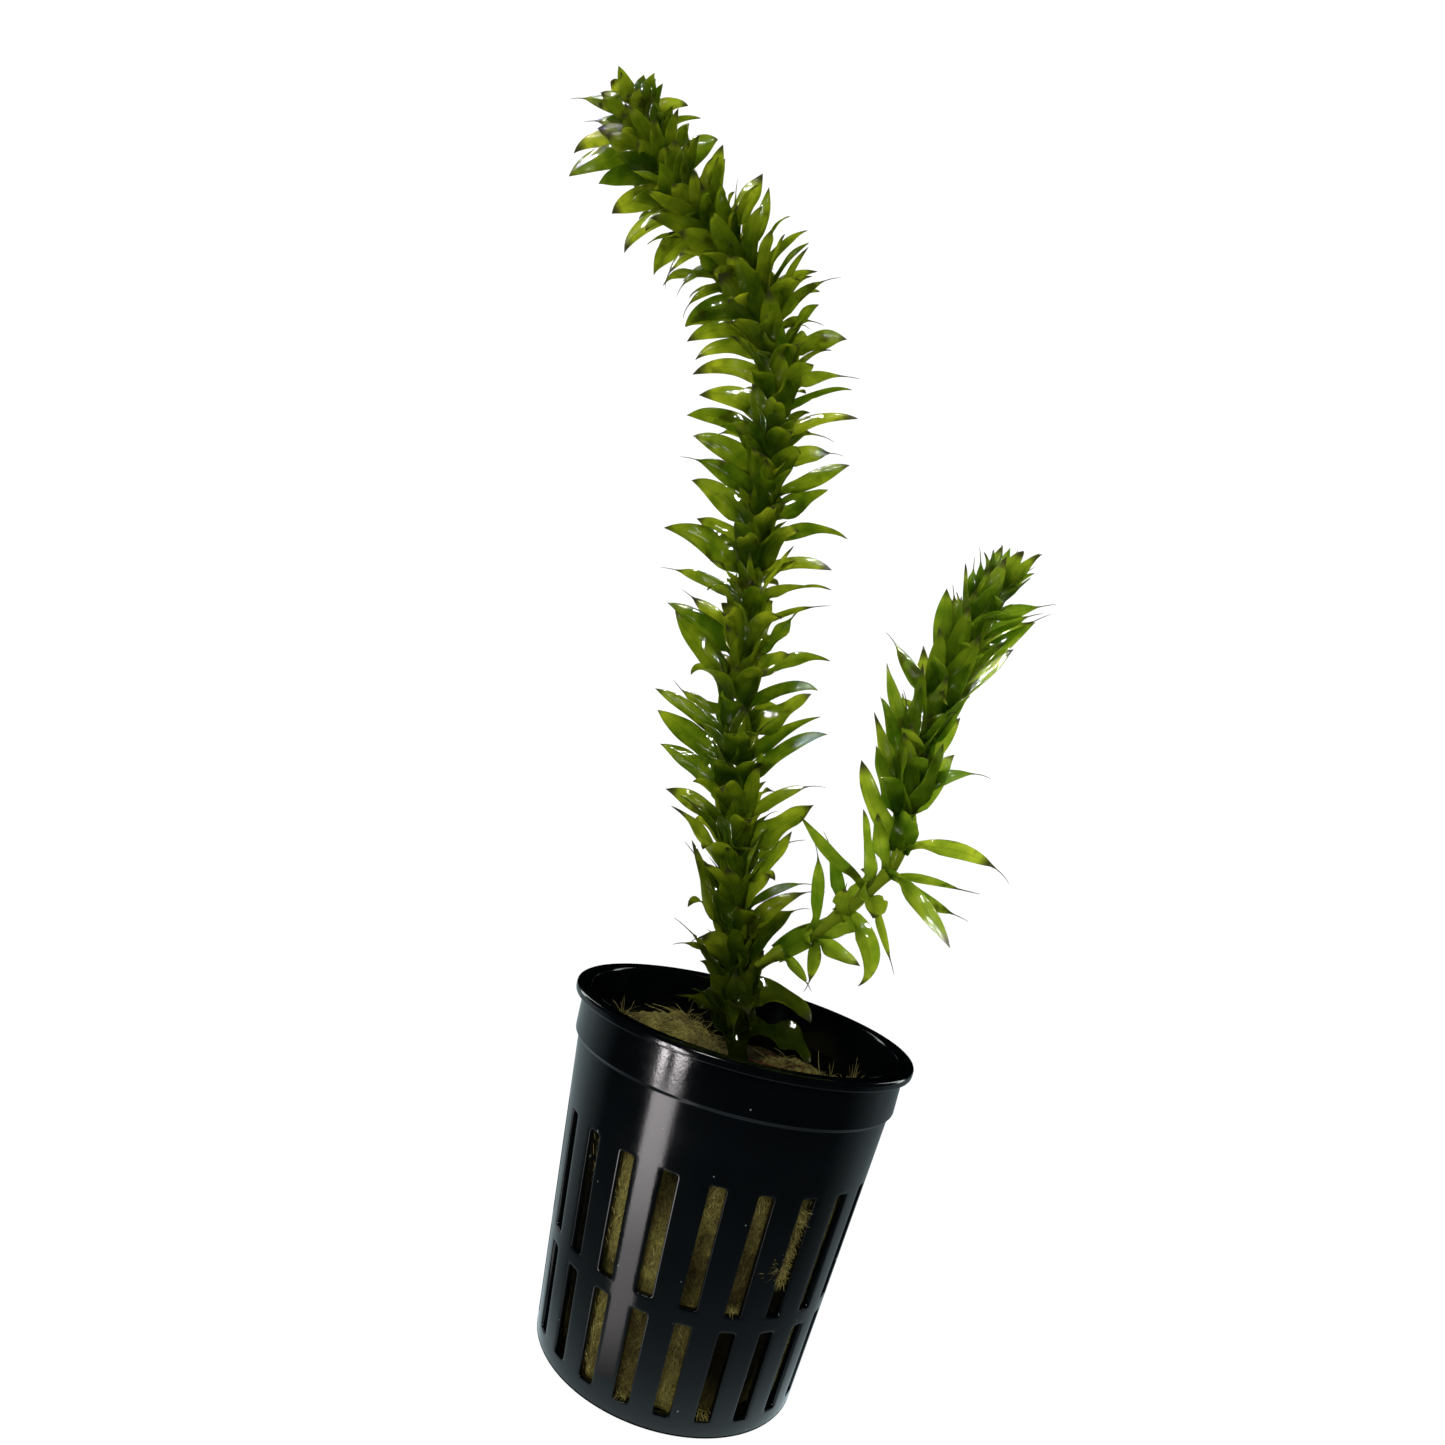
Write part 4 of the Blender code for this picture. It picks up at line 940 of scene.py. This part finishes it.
def smooth_route(points):
    """Return points on a Catmull-Rom curve through a stem's route, and the distance of each along it."""
    points = np.array(points) * MM
    ends = np.concatenate([[points[0] * 2 - points[1]], points, [points[-1] * 2 - points[-2]]])
    a, b, c, d = (ends[first:len(ends) - 3 + first, None] for first in range(4))
    t = np.arange(ROUTE_STEPS)[None, :, None] / ROUTE_STEPS
    curve = 2 * b + (c - a) * t + (2 * a - 5 * b + 4 * c - d) * t ** 2 + (3 * b - a - 3 * c + d) * t ** 3
    route = np.concatenate([0.5 * curve.reshape(-1, 3), points[-1:]])
    lengths = np.linalg.norm(np.diff(route, axis=0), axis=1)
    return route, np.concatenate([[0], np.cumsum(lengths)])


def frames_at(route, distances, at):
    """Return the point, direction, front and right of a stem at distances along its route."""
    at = np.atleast_1d(at)
    point = np.stack([np.interp(at, distances, route[:, axis]) for axis in range(3)], -1)
    stretch = np.clip(np.searchsorted(distances, at) - 1, 0, len(route) - 2)
    along = route[stretch + 1] - route[stretch]
    along /= np.linalg.norm(along, axis=1, keepdims=True)
    front = np.array([0, -1, 0]) + along * along[:, 1:2]
    front /= np.linalg.norm(front, axis=1, keepdims=True)
    return point, along, front, np.cross(along, front)


def turn_between(a, b):
    """Return the size of the turn between two angles."""
    return abs((a - b + math.pi) % math.tau - math.pi)


def whorl_leaves(shoot, number, turn, young, spread):
    """Return one whorl's leaves, spread by chance, with those that stand out put among them."""
    sides = shoot["sides"]
    leaves = []
    for k in range(sides // 2):
        side = (2 * k + number % 2) % sides
        foot, tip, length, width = shoot["leaf"](young)
        azimuth = (turn + math.tau * side / sides
                   + math.radians(spread.uniform(-AZIMUTH_SPREAD, AZIMUTH_SPREAD)))
        facing = abs(math.cos(azimuth))
        leaves.append({
            "azimuth": azimuth,
            "foot": math.radians(foot * (1 - FACING_FOOT * facing)
                                 + spread.uniform(-FOOT_SPREAD, FOOT_SPREAD)),
            "tip": math.radians(tip + FACING_TIP * facing + spread.uniform(-TIP_SPREAD, TIP_SPREAD)),
            "bend": 1 + FACING_BEND * facing, "loose": 1.0,
            "length": length * (1 - FACING_SHORTER * facing) * MM
            * spread.uniform(1 - LENGTH_SPREAD, 1 + LENGTH_SPREAD),
            "width": width * spread.uniform(1 - WIDTH_SPREAD, 1 + WIDTH_SPREAD) * MM,
            "roll": math.radians(spread.uniform(-shoot["roll"], shoot["roll"]))
            * (1 - FACING_FLATTER * facing),
        })
    plain = list(leaves)
    for azimuth, foot, tip, length, width, roll in shoot["special"].get(number, ()):
        azimuth, foot, tip, roll = (math.radians(angle) for angle in (azimuth, foot, tip, roll))
        nearest = min(plain, key=lambda leaf: turn_between(leaf["azimuth"], azimuth))
        plain.remove(nearest)
        nearest.update(azimuth=azimuth, foot=foot, tip=tip, length=length * MM, width=width * MM,
                       roll=roll, bend=1, loose=SPECIAL_LOOSE)
    gone = shoot["gone"].get(number, ())
    return [leaf for k, leaf in enumerate(leaves) if k not in gone]


def make_whorls(shoot, total):
    """Return a shoot's whorls from its foot to its tip: place along the stem and leaves."""
    spread = random.Random(shoot["seed"])
    whorls = []
    at = shoot["first"]
    while at < total - shoot["tip_gap"]:
        number = len(whorls)
        young = max(0.0, (at / total - shoot["young_from"]) / (1 - shoot["young_from"]))
        turn = shoot["turn"] + shoot["twist"] * number
        whorls.append({"at": at, "young": young,
                       "leaves": whorl_leaves(shoot, number, turn, young, spread)})
        at += shoot["spacing"](number + 1, young)
    return whorls


def inner_whorls(shoot, whorls, total, chance):
    """Return whorls of inner leaves, which lie closer along the stem and fill the outer ones' gaps.

    In the crown they are longer and spread wider."""
    inner = shoot["inner"]
    filled = []
    for whorl in whorls[inner["from"]:]:
        young = whorl["young"]
        crown = min(1, max(0, (whorl["at"] / total - inner["crown"]) / CROWN_FADE))
        length, width = shoot["leaf"](young)[2:]
        leaves = []
        for k in range(inner["count"]):
            tip = chance.uniform(*inner["tip"]) * (1 - young)
            tip += chance.uniform(*YOUNG_TIPS) * young + CROWN_TIP * crown
            foot = chance.uniform(*inner["foot"]) + inner["spread"] * young + CROWN_FOOT * crown
            leaves.append({
                "azimuth": math.tau * (k + chance.uniform(-0.4, 0.4)) / inner["count"],
                "foot": math.radians(foot), "tip": math.radians(tip),
                "bend": chance.uniform(*INNER_BENDS), "loose": 1.0,
                "length": (length * MM * (chance.uniform(*inner["length"]) + YOUNG_LONGER * young
                                          + CROWN_LONGER * crown * (1 - young))),
                "width": width * (chance.uniform(*INNER_WIDTHS) + YOUNG_WIDER * max(young, crown)) * MM,
                "roll": math.radians(chance.gauss(0, INNER_ROLL)),
            })
        filled.append({**whorl, "leaves": leaves})
    return filled


def stem_radius(shoot, at, total):
    """Return a stem's radius: even at first, then drawn in along the last stretch to its tip."""
    thinning = np.clip((at / total - THINNING_FROM) / (1 - THINNING_FROM), 0, 1)
    return shoot["radius"] + (TIP_RADIUS - shoot["radius"]) * thinning


def stem_mesh(name, shoot, route, distances, whorls, material):
    """Build a stem: rings round its route, five-ribbed, and a little wider at each whorl.

    It is drawn in at the foot and at the bud."""
    total = distances[-1]
    at = np.arange(0, total, STEM_RING_GAP)
    point, along, front, right = frames_at(route, distances, at)
    whorl_places = np.array([whorl["at"] for whorl in whorls])
    swelling = np.exp(-((at[:, None] - whorl_places) / SWELLING_REACH) ** 2).sum(axis=1)
    radius = stem_radius(shoot, at, total) * (STEM_WAIST + STEM_SWELLING * swelling)
    radius *= np.sqrt(np.clip((total - at) / BUD_STRETCH, 0.04, 1))
    radius *= STEM_FOOT_SHARE + (1 - STEM_FOOT_SHARE) * np.clip(at / FOOT_STRETCH, 0, 1)
    turn = math.tau * np.arange(STEM_SIDES) / STEM_SIDES
    rib = 1 + STEM_RIB * np.cos(5 * turn)
    across = front[:, None] * np.cos(turn)[:, None] + right[:, None] * np.sin(turn)[:, None]
    rings = point[:, None] + across * (radius[:, None] * rib)[..., None]
    corners, faces = closed_tubes(rings[None], np.stack([point[0], route[-1]])[None])
    way = np.append(np.repeat(at / total, STEM_SIDES), [0, 1])
    return add_piece(name, corners, faces, material, way=way)


def leaf_values(leaves):
    """Return each kind of number that describes the leaves as one array over all of them."""
    return {key: np.array([leaf[key] for leaf in leaves]) for key in leaves[0]}


def turn_about(vector, axis, angle):
    """Return a vector turned about an axis that stands square to it."""
    return vector * np.cos(angle) + np.cross(axis, vector) * np.sin(angle)


def leaf_rings(leaf):
    """Return rings round all blades at once and their ends, with the share along and across each point.

    The midrib turns from the foot angle to the tip angle with a power of the way along, hugs the stem
    over its first quarter and hooks further over its last third. The half width grows with a square law
    from the clasping foot to the widest place and falls off from there to the point. Each point across
    the blade is lifted by the square of its share across, which makes the channel, and by a wave that
    runs along the edges. The two faces part by a thickness that falls to nothing at the edges, with a
    midrib standing out below."""
    t = 1 - (1 - np.linspace(0, 1, LEAF_STATIONS)) ** 1.25
    middle, step = (t[1:] + t[:-1]) / 2, np.diff(t)
    column = {key: value[:, None] for key, value in leaf.items() if value.ndim == 1}

    def heading(t):
        hug = np.clip(1 - t / LEAF_HUG[0], 0, 1) ** 2 - LEAF_HUG[0] / 3
        angle = column["foot"] + (column["tip"] - column["foot"]) * t ** column["bend"]
        angle = angle - LEAF_HUG[1] * hug
        angle = angle + column["hook"] * np.clip((t - HOOK_PLACE[0]) / HOOK_PLACE[1], 0, 1) ** 2
        sway = (column["sway"] * t)[..., None]
        plane = (leaf["along"][:, None] * np.cos(angle)[..., None]
                 + leaf["outward"][:, None] * np.sin(angle)[..., None])
        return plane * np.cos(sway) + leaf["across"][:, None] * np.sin(sway)

    steps = heading(middle) * step[None, :, None] * leaf["length"][:, None, None]
    line = leaf["root"][:, None] + np.concatenate([np.zeros_like(steps[:, :1]),
                                                   np.cumsum(steps, axis=1)], axis=1)
    along = heading(t)
    across = leaf["across"][:, None] - along * (along * leaf["across"][:, None]).sum(-1, keepdims=True)
    across /= np.linalg.norm(across, axis=-1, keepdims=True)
    ease = np.clip(t / ROLLED_BY, 0, 1)
    roll = column["roll"] * ease ** 2 * (3 - 2 * ease) + column["twist"] * t ** 2
    blade = turn_about(across, along, roll[..., None])
    up = np.cross(along, blade)

    before = 1 - (1 - LEAF_BASE_SHARE) * (1 - np.clip(t / LEAF_WIDEST, 0, 1)) ** 2
    after = 1 - np.clip((t - LEAF_WIDEST) / (column["blade_end"] - LEAF_WIDEST), 0, 1) ** column["taper"]
    hair = HAIR_TIP_RADIUS * (1 - 0.8 * t ** 6)
    half_width = np.maximum(column["width"] / 2 * np.where(t < LEAF_WIDEST, before, after), hair)

    faces_across = np.linspace(1, -1, LEAF_SIDES // 2 + 1)
    share = np.sin(np.concatenate([faces_across, faces_across[-2:0:-1]]) * np.pi / 2)
    is_top = np.arange(LEAF_SIDES) <= LEAF_SIDES // 2
    clasp = CLASP_DEPTH * np.clip(1.3 - t / 0.3, 0, 1) ** 2
    lift = (column["cup"] + clasp)[..., None] * share ** 2 * half_width[..., None]
    wave_turn = (column["waves"] * t)[..., None] * math.tau + column["phase"][..., None]
    wave_turn = wave_turn + share * EDGE_LAG
    lift += (column["wave"][..., None] * share ** 2 * np.sin(wave_turn)) * half_width[..., None]
    body = LEAF_THICKNESS / 2 * (1 - share ** 2) ** 0.6
    rib = MIDRIB_DEPTH * np.exp(-(share / MIDRIB_WIDTH) ** 2) * (1 - t)[:, None]
    skin = np.where(is_top, body, -body - rib)
    skin = np.minimum(np.abs(skin), half_width[..., None]) * np.sign(skin)
    rings = (line[:, :, None] + blade[:, :, None] * (share * half_width[..., None])[..., None]
             + up[:, :, None] * (lift + skin)[..., None])
    ends = line[:, [0, -1]]
    flat = rings.shape[:3]
    blade_way = np.minimum(t / column["blade_end"], 1)
    way = np.concatenate([np.broadcast_to(blade_way[..., None], flat).reshape(flat[0], -1),
                          np.tile([0.0, 1.0], (flat[0], 1))], axis=1)
    edge = np.concatenate([np.broadcast_to(share, flat).reshape(flat[0], -1),
                           np.zeros((flat[0], 2))], axis=1)
    return rings, ends, way, edge


def place_leaves(shoot, route, distances, whorls, chance):
    """Return all leaves of a shoot as arrays, with the rest of each leaf's shape drawn by chance."""
    total = distances[-1]
    leaves = []
    for whorl in whorls:
        point, along, front, right = (value[0] for value in frames_at(route, distances, whorl["at"]))
        radius = stem_radius(shoot, whorl["at"], total)
        for leaf in whorl["leaves"]:
            outward = front * math.cos(leaf["azimuth"]) + right * math.sin(leaf["azimuth"])
            has_tail = chance.random() < TAIL_CHANCE or leaf["width"] < TAIL_BELOW
            # Low leaves are old and crinkled, and their colour is painted darker as shade
            old = shoot["old"] * max(0, 1 - (whorl["at"] - shoot["first"]) / OLD_AND_SHADED_STRETCH)
            leaves.append({
                **leaf, "root": point + outward * radius * LEAF_ROOT, "along": along,
                "outward": outward, "across": np.cross(along, outward),
                "hook": math.radians(chance.uniform(*HOOKS)) * leaf["loose"],
                "sway": math.radians(chance.gauss(0, SWAY_SPREAD)) * leaf["loose"],
                "twist": math.radians(chance.gauss(0, TWIST_SPREAD)),
                "cup": chance.uniform(*CUPS), "wave": chance.uniform(*WAVE_HEIGHTS) + OLD_WAVE * old,
                "waves": chance.uniform(*WAVE_COUNTS), "phase": chance.uniform(0, math.tau),
                "blade_end": TAIL_FROM if has_tail else 1.0, "taper": chance.uniform(*TAPERS),
                "shade": chance.uniform(0, 1), "old": old,
            })
    return leaf_values(leaves)


def leaves_mesh(name, leaf, material):
    """Build all leaves of a shoot as one piece."""
    rings, ends, way, edge = leaf_rings(leaf)
    corners, faces = closed_tubes(rings, ends)
    count = rings.shape[1:3]
    return add_piece(name, corners, faces, material, way=way, edge=edge,
                     shade=spread_value(leaf["shade"], *count), old=spread_value(leaf["old"], *count))


# A leaf's colours: its surface where its tone is deep and where it is light (the tone is painted darker
# towards the foot as shade), its brown stains, its old parts, painted darker as shade, and its worn
# point, as it reflects light and as light comes through
LEAF_DEEP, LEAF_LIGHT, LEAF_STAINED, LEAF_OLD_SHADED = "#2c480a", "#566e0e", "#463f12", "#151b0b"
POINT_SURFACE, POINT_THROUGH = "#4a4a30", "#5a583a"


def waterweed_leaf(name, glow, deep_glow):
    """A wet leaf two cells thick. Most of its colour is light that comes through it, so it is
    yellow-green where it stands alone and dark where leaves overlap. Its tone is also painted darker
    towards its foot, as shade where leaves overlap, and the lowest leaves are painted darker as shade
    and age. It has fine lengthwise veins, a darker rim, brown stains and a grey-brown point. Its patchy
    water film breaks the lamps' reflections into short strokes."""
    material, tree = new_material(name)
    place = add_node(tree, "TexCoord", {}).outputs["Object"]
    way, edge, shade, old = (
        add_node(tree, "Attribute", {}, attribute_name=value).outputs["Fac"]
        for value in ("way", "edge", "shade", "old")
    )
    mottle = add_node(tree, "TexNoise", {"Vector": place, "Scale": 1 / (2.5 * MM), "Detail": 4.0})
    # Painted shade: the tone is lighter towards the point and darker towards the foot, where leaves
    # overlap
    outer = add_node(tree, "Math", {0: way, 1: 0.5, 2: shade}, operation="MULTIPLY_ADD")
    mixed = add_node(tree, "Math", {0: mottle, 1: 2.2, 2: outer}, operation="MULTIPLY_ADD")
    tone = add_node(tree, "MapRange", {"Value": mixed, 1: 1.15, 2: 2.75})
    vein_place = add_node(tree, "Math", {0: edge, 1: 30.0}, operation="MULTIPLY")
    vein_wave = add_node(tree, "Math", {0: vein_place}, operation="SINE")
    vein = add_node(tree, "MapRange", {"Value": vein_wave, 1: -1.0, 2: 1.0, 3: 0.95, 4: 1.0})
    edge_size = add_node(tree, "Math", {0: edge}, operation="ABSOLUTE")
    midrib = add_node(tree, "MapRange", {"Value": edge_size, 1: 0.03, 2: 0.11, 3: 0.85, 4: 1.0})
    rim = add_node(tree, "MapRange", {"Value": edge_size, 1: 0.90, 2: 0.99, 3: 1.0, 4: 0.95})
    lines = add_node(tree, "Math", {0: vein, 1: midrib}, operation="MULTIPLY")
    density = add_node(tree, "Math", {0: lines, 1: rim}, operation="MULTIPLY")
    glow_tone = add_node(tree, "Mix", {0: tone, 6: linear(deep_glow), 7: linear(glow)},
                         data_type="RGBA")
    through = add_node(tree, "Mix", {0: 1.0, 6: glow_tone, 7: density}, data_type="RGBA",
                       blend_type="MULTIPLY")
    surface = add_node(tree, "Mix", {0: tone, 6: linear(LEAF_DEEP), 7: linear(LEAF_LIGHT)},
                       data_type="RGBA")
    stain_place = add_node(tree, "TexNoise", {"Vector": place, "Scale": 1 / (4 * MM), "Detail": 3.0})
    stain = add_node(tree, "MapRange", {"Value": stain_place, 1: 0.6, 2: 0.7, 4: 0.55})
    worn = add_node(tree, "Math", {0: shade, 1: 0.16, 2: -0.10}, operation="MULTIPLY_ADD")
    worn_way = add_node(tree, "Math", {0: way, 1: worn}, operation="ADD")
    point = add_node(tree, "MapRange", {"Value": worn_way, 1: 0.86, 2: 0.97, 3: 0.0, 4: 0.85})
    shown = []
    # Painted shade and age: the lowest leaves are mixed towards a near black green
    for clean, worn_colour in ((surface, POINT_SURFACE), (through, POINT_THROUGH)):
        aged_and_shaded = add_node(tree, "Mix", {0: old, 6: clean, 7: linear(LEAF_OLD_SHADED)}, data_type="RGBA")
        browned = add_node(tree, "Mix", {0: stain, 6: aged_and_shaded, 7: linear(LEAF_STAINED)}, data_type="RGBA")
        shown.append(add_node(tree, "Mix", {0: point, 6: browned, 7: linear(worn_colour)},
                              data_type="RGBA"))
    film_place = add_node(tree, "CombineXYZ", {
        axis: add_node(tree, "Math", {0: value, 1: size}, operation="MULTIPLY")
        for axis, value, size in (("X", edge, 1.5), ("Y", way, 6.0), ("Z", shade, 60.0))
    })
    film = add_node(tree, "TexNoise", {"Vector": film_place, "Scale": 1.0, "Detail": 1.0,
                                       "Distortion": 0.8})
    wet_place = add_node(tree, "TexNoise", {"Vector": place, "Scale": 1 / (5 * MM), "Detail": 1.0})
    wet = add_node(tree, "MapRange", {"Value": wet_place, 1: 0.44, 2: 0.56, 4: 1.0})
    film_relief = add_node(tree, "Bump", {"Height": film, "Strength": 1.0, "Distance": 0.22 * MM})
    vein_relief = add_node(tree, "Bump", {"Height": vein_wave, "Strength": 0.4, "Distance": 0.03 * MM})
    shader = add_node(tree, "BsdfPrincipled", {
        "Base Color": shown[0], "Roughness": 0.5, "IOR": 1.4, "Specular IOR Level": 0.0,
        "Coat Weight": wet, "Coat Roughness": 0.05, "Coat IOR": 1.40,
        "Normal": vein_relief, "Coat Normal": film_relief,
    })
    glowing = add_node(tree, "BsdfTranslucent", {"Color": shown[1]})
    blend = add_node(tree, "MixShader", {0: 0.74, 1: shader, 2: glowing})
    add_node(tree, "OutputMaterial", {"Surface": blend})
    return material


def waterweed_stem(name, shaded, lit, glow, coat, foot):
    """A wet, fleshy stem, glossy and faintly mottled, with a little light coming through.

    Its oldest stretch, at the foot, is painted darker towards black by the share given, as shade down
    in the pot and for a stretch above its rim."""
    material, tree = new_material(name)
    place = add_node(tree, "TexCoord", {}).outputs["Object"]
    mottle = add_node(tree, "TexNoise", {"Vector": place, "Scale": 1 / (2 * MM), "Detail": 4.0})
    colour = add_node(tree, "Mix", {0: mottle, 6: linear(shaded), 7: linear(lit)}, data_type="RGBA")
    way = add_node(tree, "Attribute", {}, attribute_name="way").outputs["Fac"]
    # Painted shade: the stem is darkened towards black down in the pot and for a stretch above its rim
    old = add_node(tree, "MapRange", {"Value": way, 1: 0.12, 2: 0.24, 3: foot, 4: 0.0})
    aged_and_shaded, glow_aged_and_shaded = (
        add_node(tree, "Mix", {0: old, 6: fresh, 7: linear("#000000")}, data_type="RGBA")
        for fresh in (colour, linear(glow))
    )
    relief = add_node(tree, "Bump", {"Height": mottle, "Strength": 0.5, "Distance": 0.2 * MM})
    shader = add_node(tree, "BsdfPrincipled", {
        "Base Color": aged_and_shaded, "Roughness": 0.4, "IOR": 1.4, "Specular IOR Level": 0.0,
        "Coat Weight": coat, "Coat Roughness": 0.05, "Coat IOR": 1.38, "Normal": relief,
    })
    glowing = add_node(tree, "BsdfTranslucent", {"Color": glow_aged_and_shaded})
    blend = add_node(tree, "MixShader", {0: 0.4, 1: shader, 2: glowing})
    add_node(tree, "OutputMaterial", {"Surface": blend})
    return material


def grow_shoot(name, shoot, leaf_material, stem_material, seed):
    """Build a shoot's stem, outer leaves and inner leaves in place of its CAD node and return them."""
    route, distances = smooth_route(shoot["route"])
    whorls = make_whorls(shoot, distances[-1])
    chance = random.Random(seed)
    pieces = [stem_mesh(name + "_stem", shoot, route, distances, whorls, stem_material)]
    filled = inner_whorls(shoot, whorls, distances[-1], chance)
    for kind, rows in (("_leaves", whorls), ("_inner_leaves", filled)):
        leaf = place_leaves(shoot, route, distances, rows, chance)
        pieces.append(leaves_mesh(name + kind, leaf, leaf_material))
    return pieces


for piece in grow_shoot(
    "main", MAIN_SHOOT, waterweed_leaf("waterweed_leaf", "#dfe46c", "#849c38"),
    waterweed_stem("waterweed_stem", "#33450a", "#51640e", "#6c8018", 0.3, 0.93), 31,
):
    wet_leaves.objects.link(piece)
    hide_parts("main_shoot")
    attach(piece, "root")


# Side shoot. It springs from the main stem just above the rim, bends up and to the right, and shows
# its bright glossy stem between the first whorls of four narrow leaves before they close up.
SIDE_ROUTE = (
    (-0.2, -2.1, 57.6), (2.7, -3.0, 60.7), (7.0, -4.0, 64.7), (12.8, -5.5, 72.3), (15.8, -6.5, 77.8),
    (15.6, -7.2, 83.5), (14.8, -8.0, 89.0), (15.4, -9.0, 97.5), (17.3, -10.5, 109.1),
    (19.6, -11.5, 117.5),
)
SIDE_SPECIAL = {
    0: ((90, 60, 95, 7.0, 1.8, 50), (-90, 35, 55, 7.5, 2.2, 60)),
    1: ((90, 60, 56, 7.8, 2.6, 60), (40, 95, 130, 9.0, 2.0, 50), (-90, 40, 62, 14.0, 2.2, 60)),
    2: ((90, 62, 165, 12.0, 3.4, 60), (-90, 52, 62, 12.0, 2.4, 60), (-35, 50, 50, 8.0, 2.4, 60)),
    3: ((90, 116, 112, 12.0, 1.4, 40), (25, 80, 110, 6.0, 4.2, 30), (-75, 95, 75, 14.5, 2.6, 60),
        (-125, 50, 54, 12.5, 3.2, 60)),
    4: ((70, 85, 105, 13.0, 2.6, 60), (110, 95, 65, 14.5, 2.2, 60), (40, 60, 60, 16.0, 2.4, 40),
        (-90, 50, 40, 8.5, 2.8, 60)),
    5: ((90, 62, 118, 17.0, 2.4, 60), (-90, 48, 18, 14.0, 3.6, 60)),
    6: ((90, 24, 20, 12.5, 3.4, 60), (-90, 30, 14, 12.0, 3.2, 60)),
    7: ((90, 40, 95, 13.0, 2.2, 60), (-90, 26, 12, 13.5, 3.0, 60)),
    8: ((90, 26, 14, 11.0, 3.2, 55), (-90, 34, 24, 12.0, 2.8, 60)),
    9: ((90, 20, 16, 11.5, 3.2, 60), (-90, 44, 24, 13.5, 2.8, 60)),
    10: ((90, 24, 20, 12.5, 3.2, 60), (-90, 24, 10, 12.0, 3.0, 60)),
    11: ((90, 28, 26, 13.5, 3.2, 60), (-90, 56, 44, 12.5, 2.6, 60)),
    12: ((90, 30, 28, 15.0, 3.0, 60), (-90, 26, 12, 13.5, 3.0, 60)),
    13: ((90, 36, 34, 15.0, 2.8, 60), (-90, 28, 18, 9.5, 2.6, 60)),
    14: ((90, 34, 42, 11.5, 2.4, 60), (-90, 35, 30, 8.5, 2.2, 60)),
    15: ((90, 36, 50, 11.8, 2.4, 60), (-90, 30, 20, 9.8, 2.2, 60)),
    16: ((90, 18, 0, 11.0, 3.0, 40), (-90, 18, 2, 9.5, 2.8, 40), (0, 22, -6, 9.5, 2.4, 0)),
}
SIDE_GONE = {0: (3,)}
SIDE_RADIUS = 1.0 * MM
# Distances in millimetres between the side shoot's first whorls, where its stem shows
SIDE_BARE_STRETCHES = (5.6, 5.3, 5.2, 4.2, 3.8, 3.8)


def side_leaf(young):
    """Return a side shoot leaf's foot and tip angles in degrees, and length and width in millimetres."""
    return 20 - 4 * young, 44 - 14 * young, 12.5 - 3.5 * young, 3.6 - 0.8 * young


def side_spacing(number, young):
    """Return the distance to the next whorl on the side shoot."""
    if number <= len(SIDE_BARE_STRETCHES):
        return SIDE_BARE_STRETCHES[number - 1] * MM
    return (3.6 - 1.2 * young) * MM


SIDE_SHOOT = {
    "route": SIDE_ROUTE, "radius": SIDE_RADIUS, "sides": 8, "first": 4.0 * MM, "tip_gap": 1.6 * MM,
    "young_from": 0.72, "turn": 0.0, "twist": math.radians(9), "roll": 25, "seed": 9,
    "inner": {"from": 6, "count": 8, "foot": (8, 28), "tip": (-8, 14), "length": (0.8, 1.1),
              "spread": -6, "crown": 1.0},
    "old": 0.0,
    "leaf": side_leaf, "spacing": side_spacing, "special": SIDE_SPECIAL, "gone": SIDE_GONE,
}
for piece in grow_shoot(
    "side", SIDE_SHOOT, waterweed_leaf("young_waterweed_leaf", "#ecf480", "#96b64a"),
    waterweed_stem("young_waterweed_stem", "#4b5c10", "#7c8c1e", "#92a22b", 0.6, 0.0), 47,
):
    wet_leaves.objects.link(piece)
    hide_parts("side_shoot")
    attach(piece, "root")
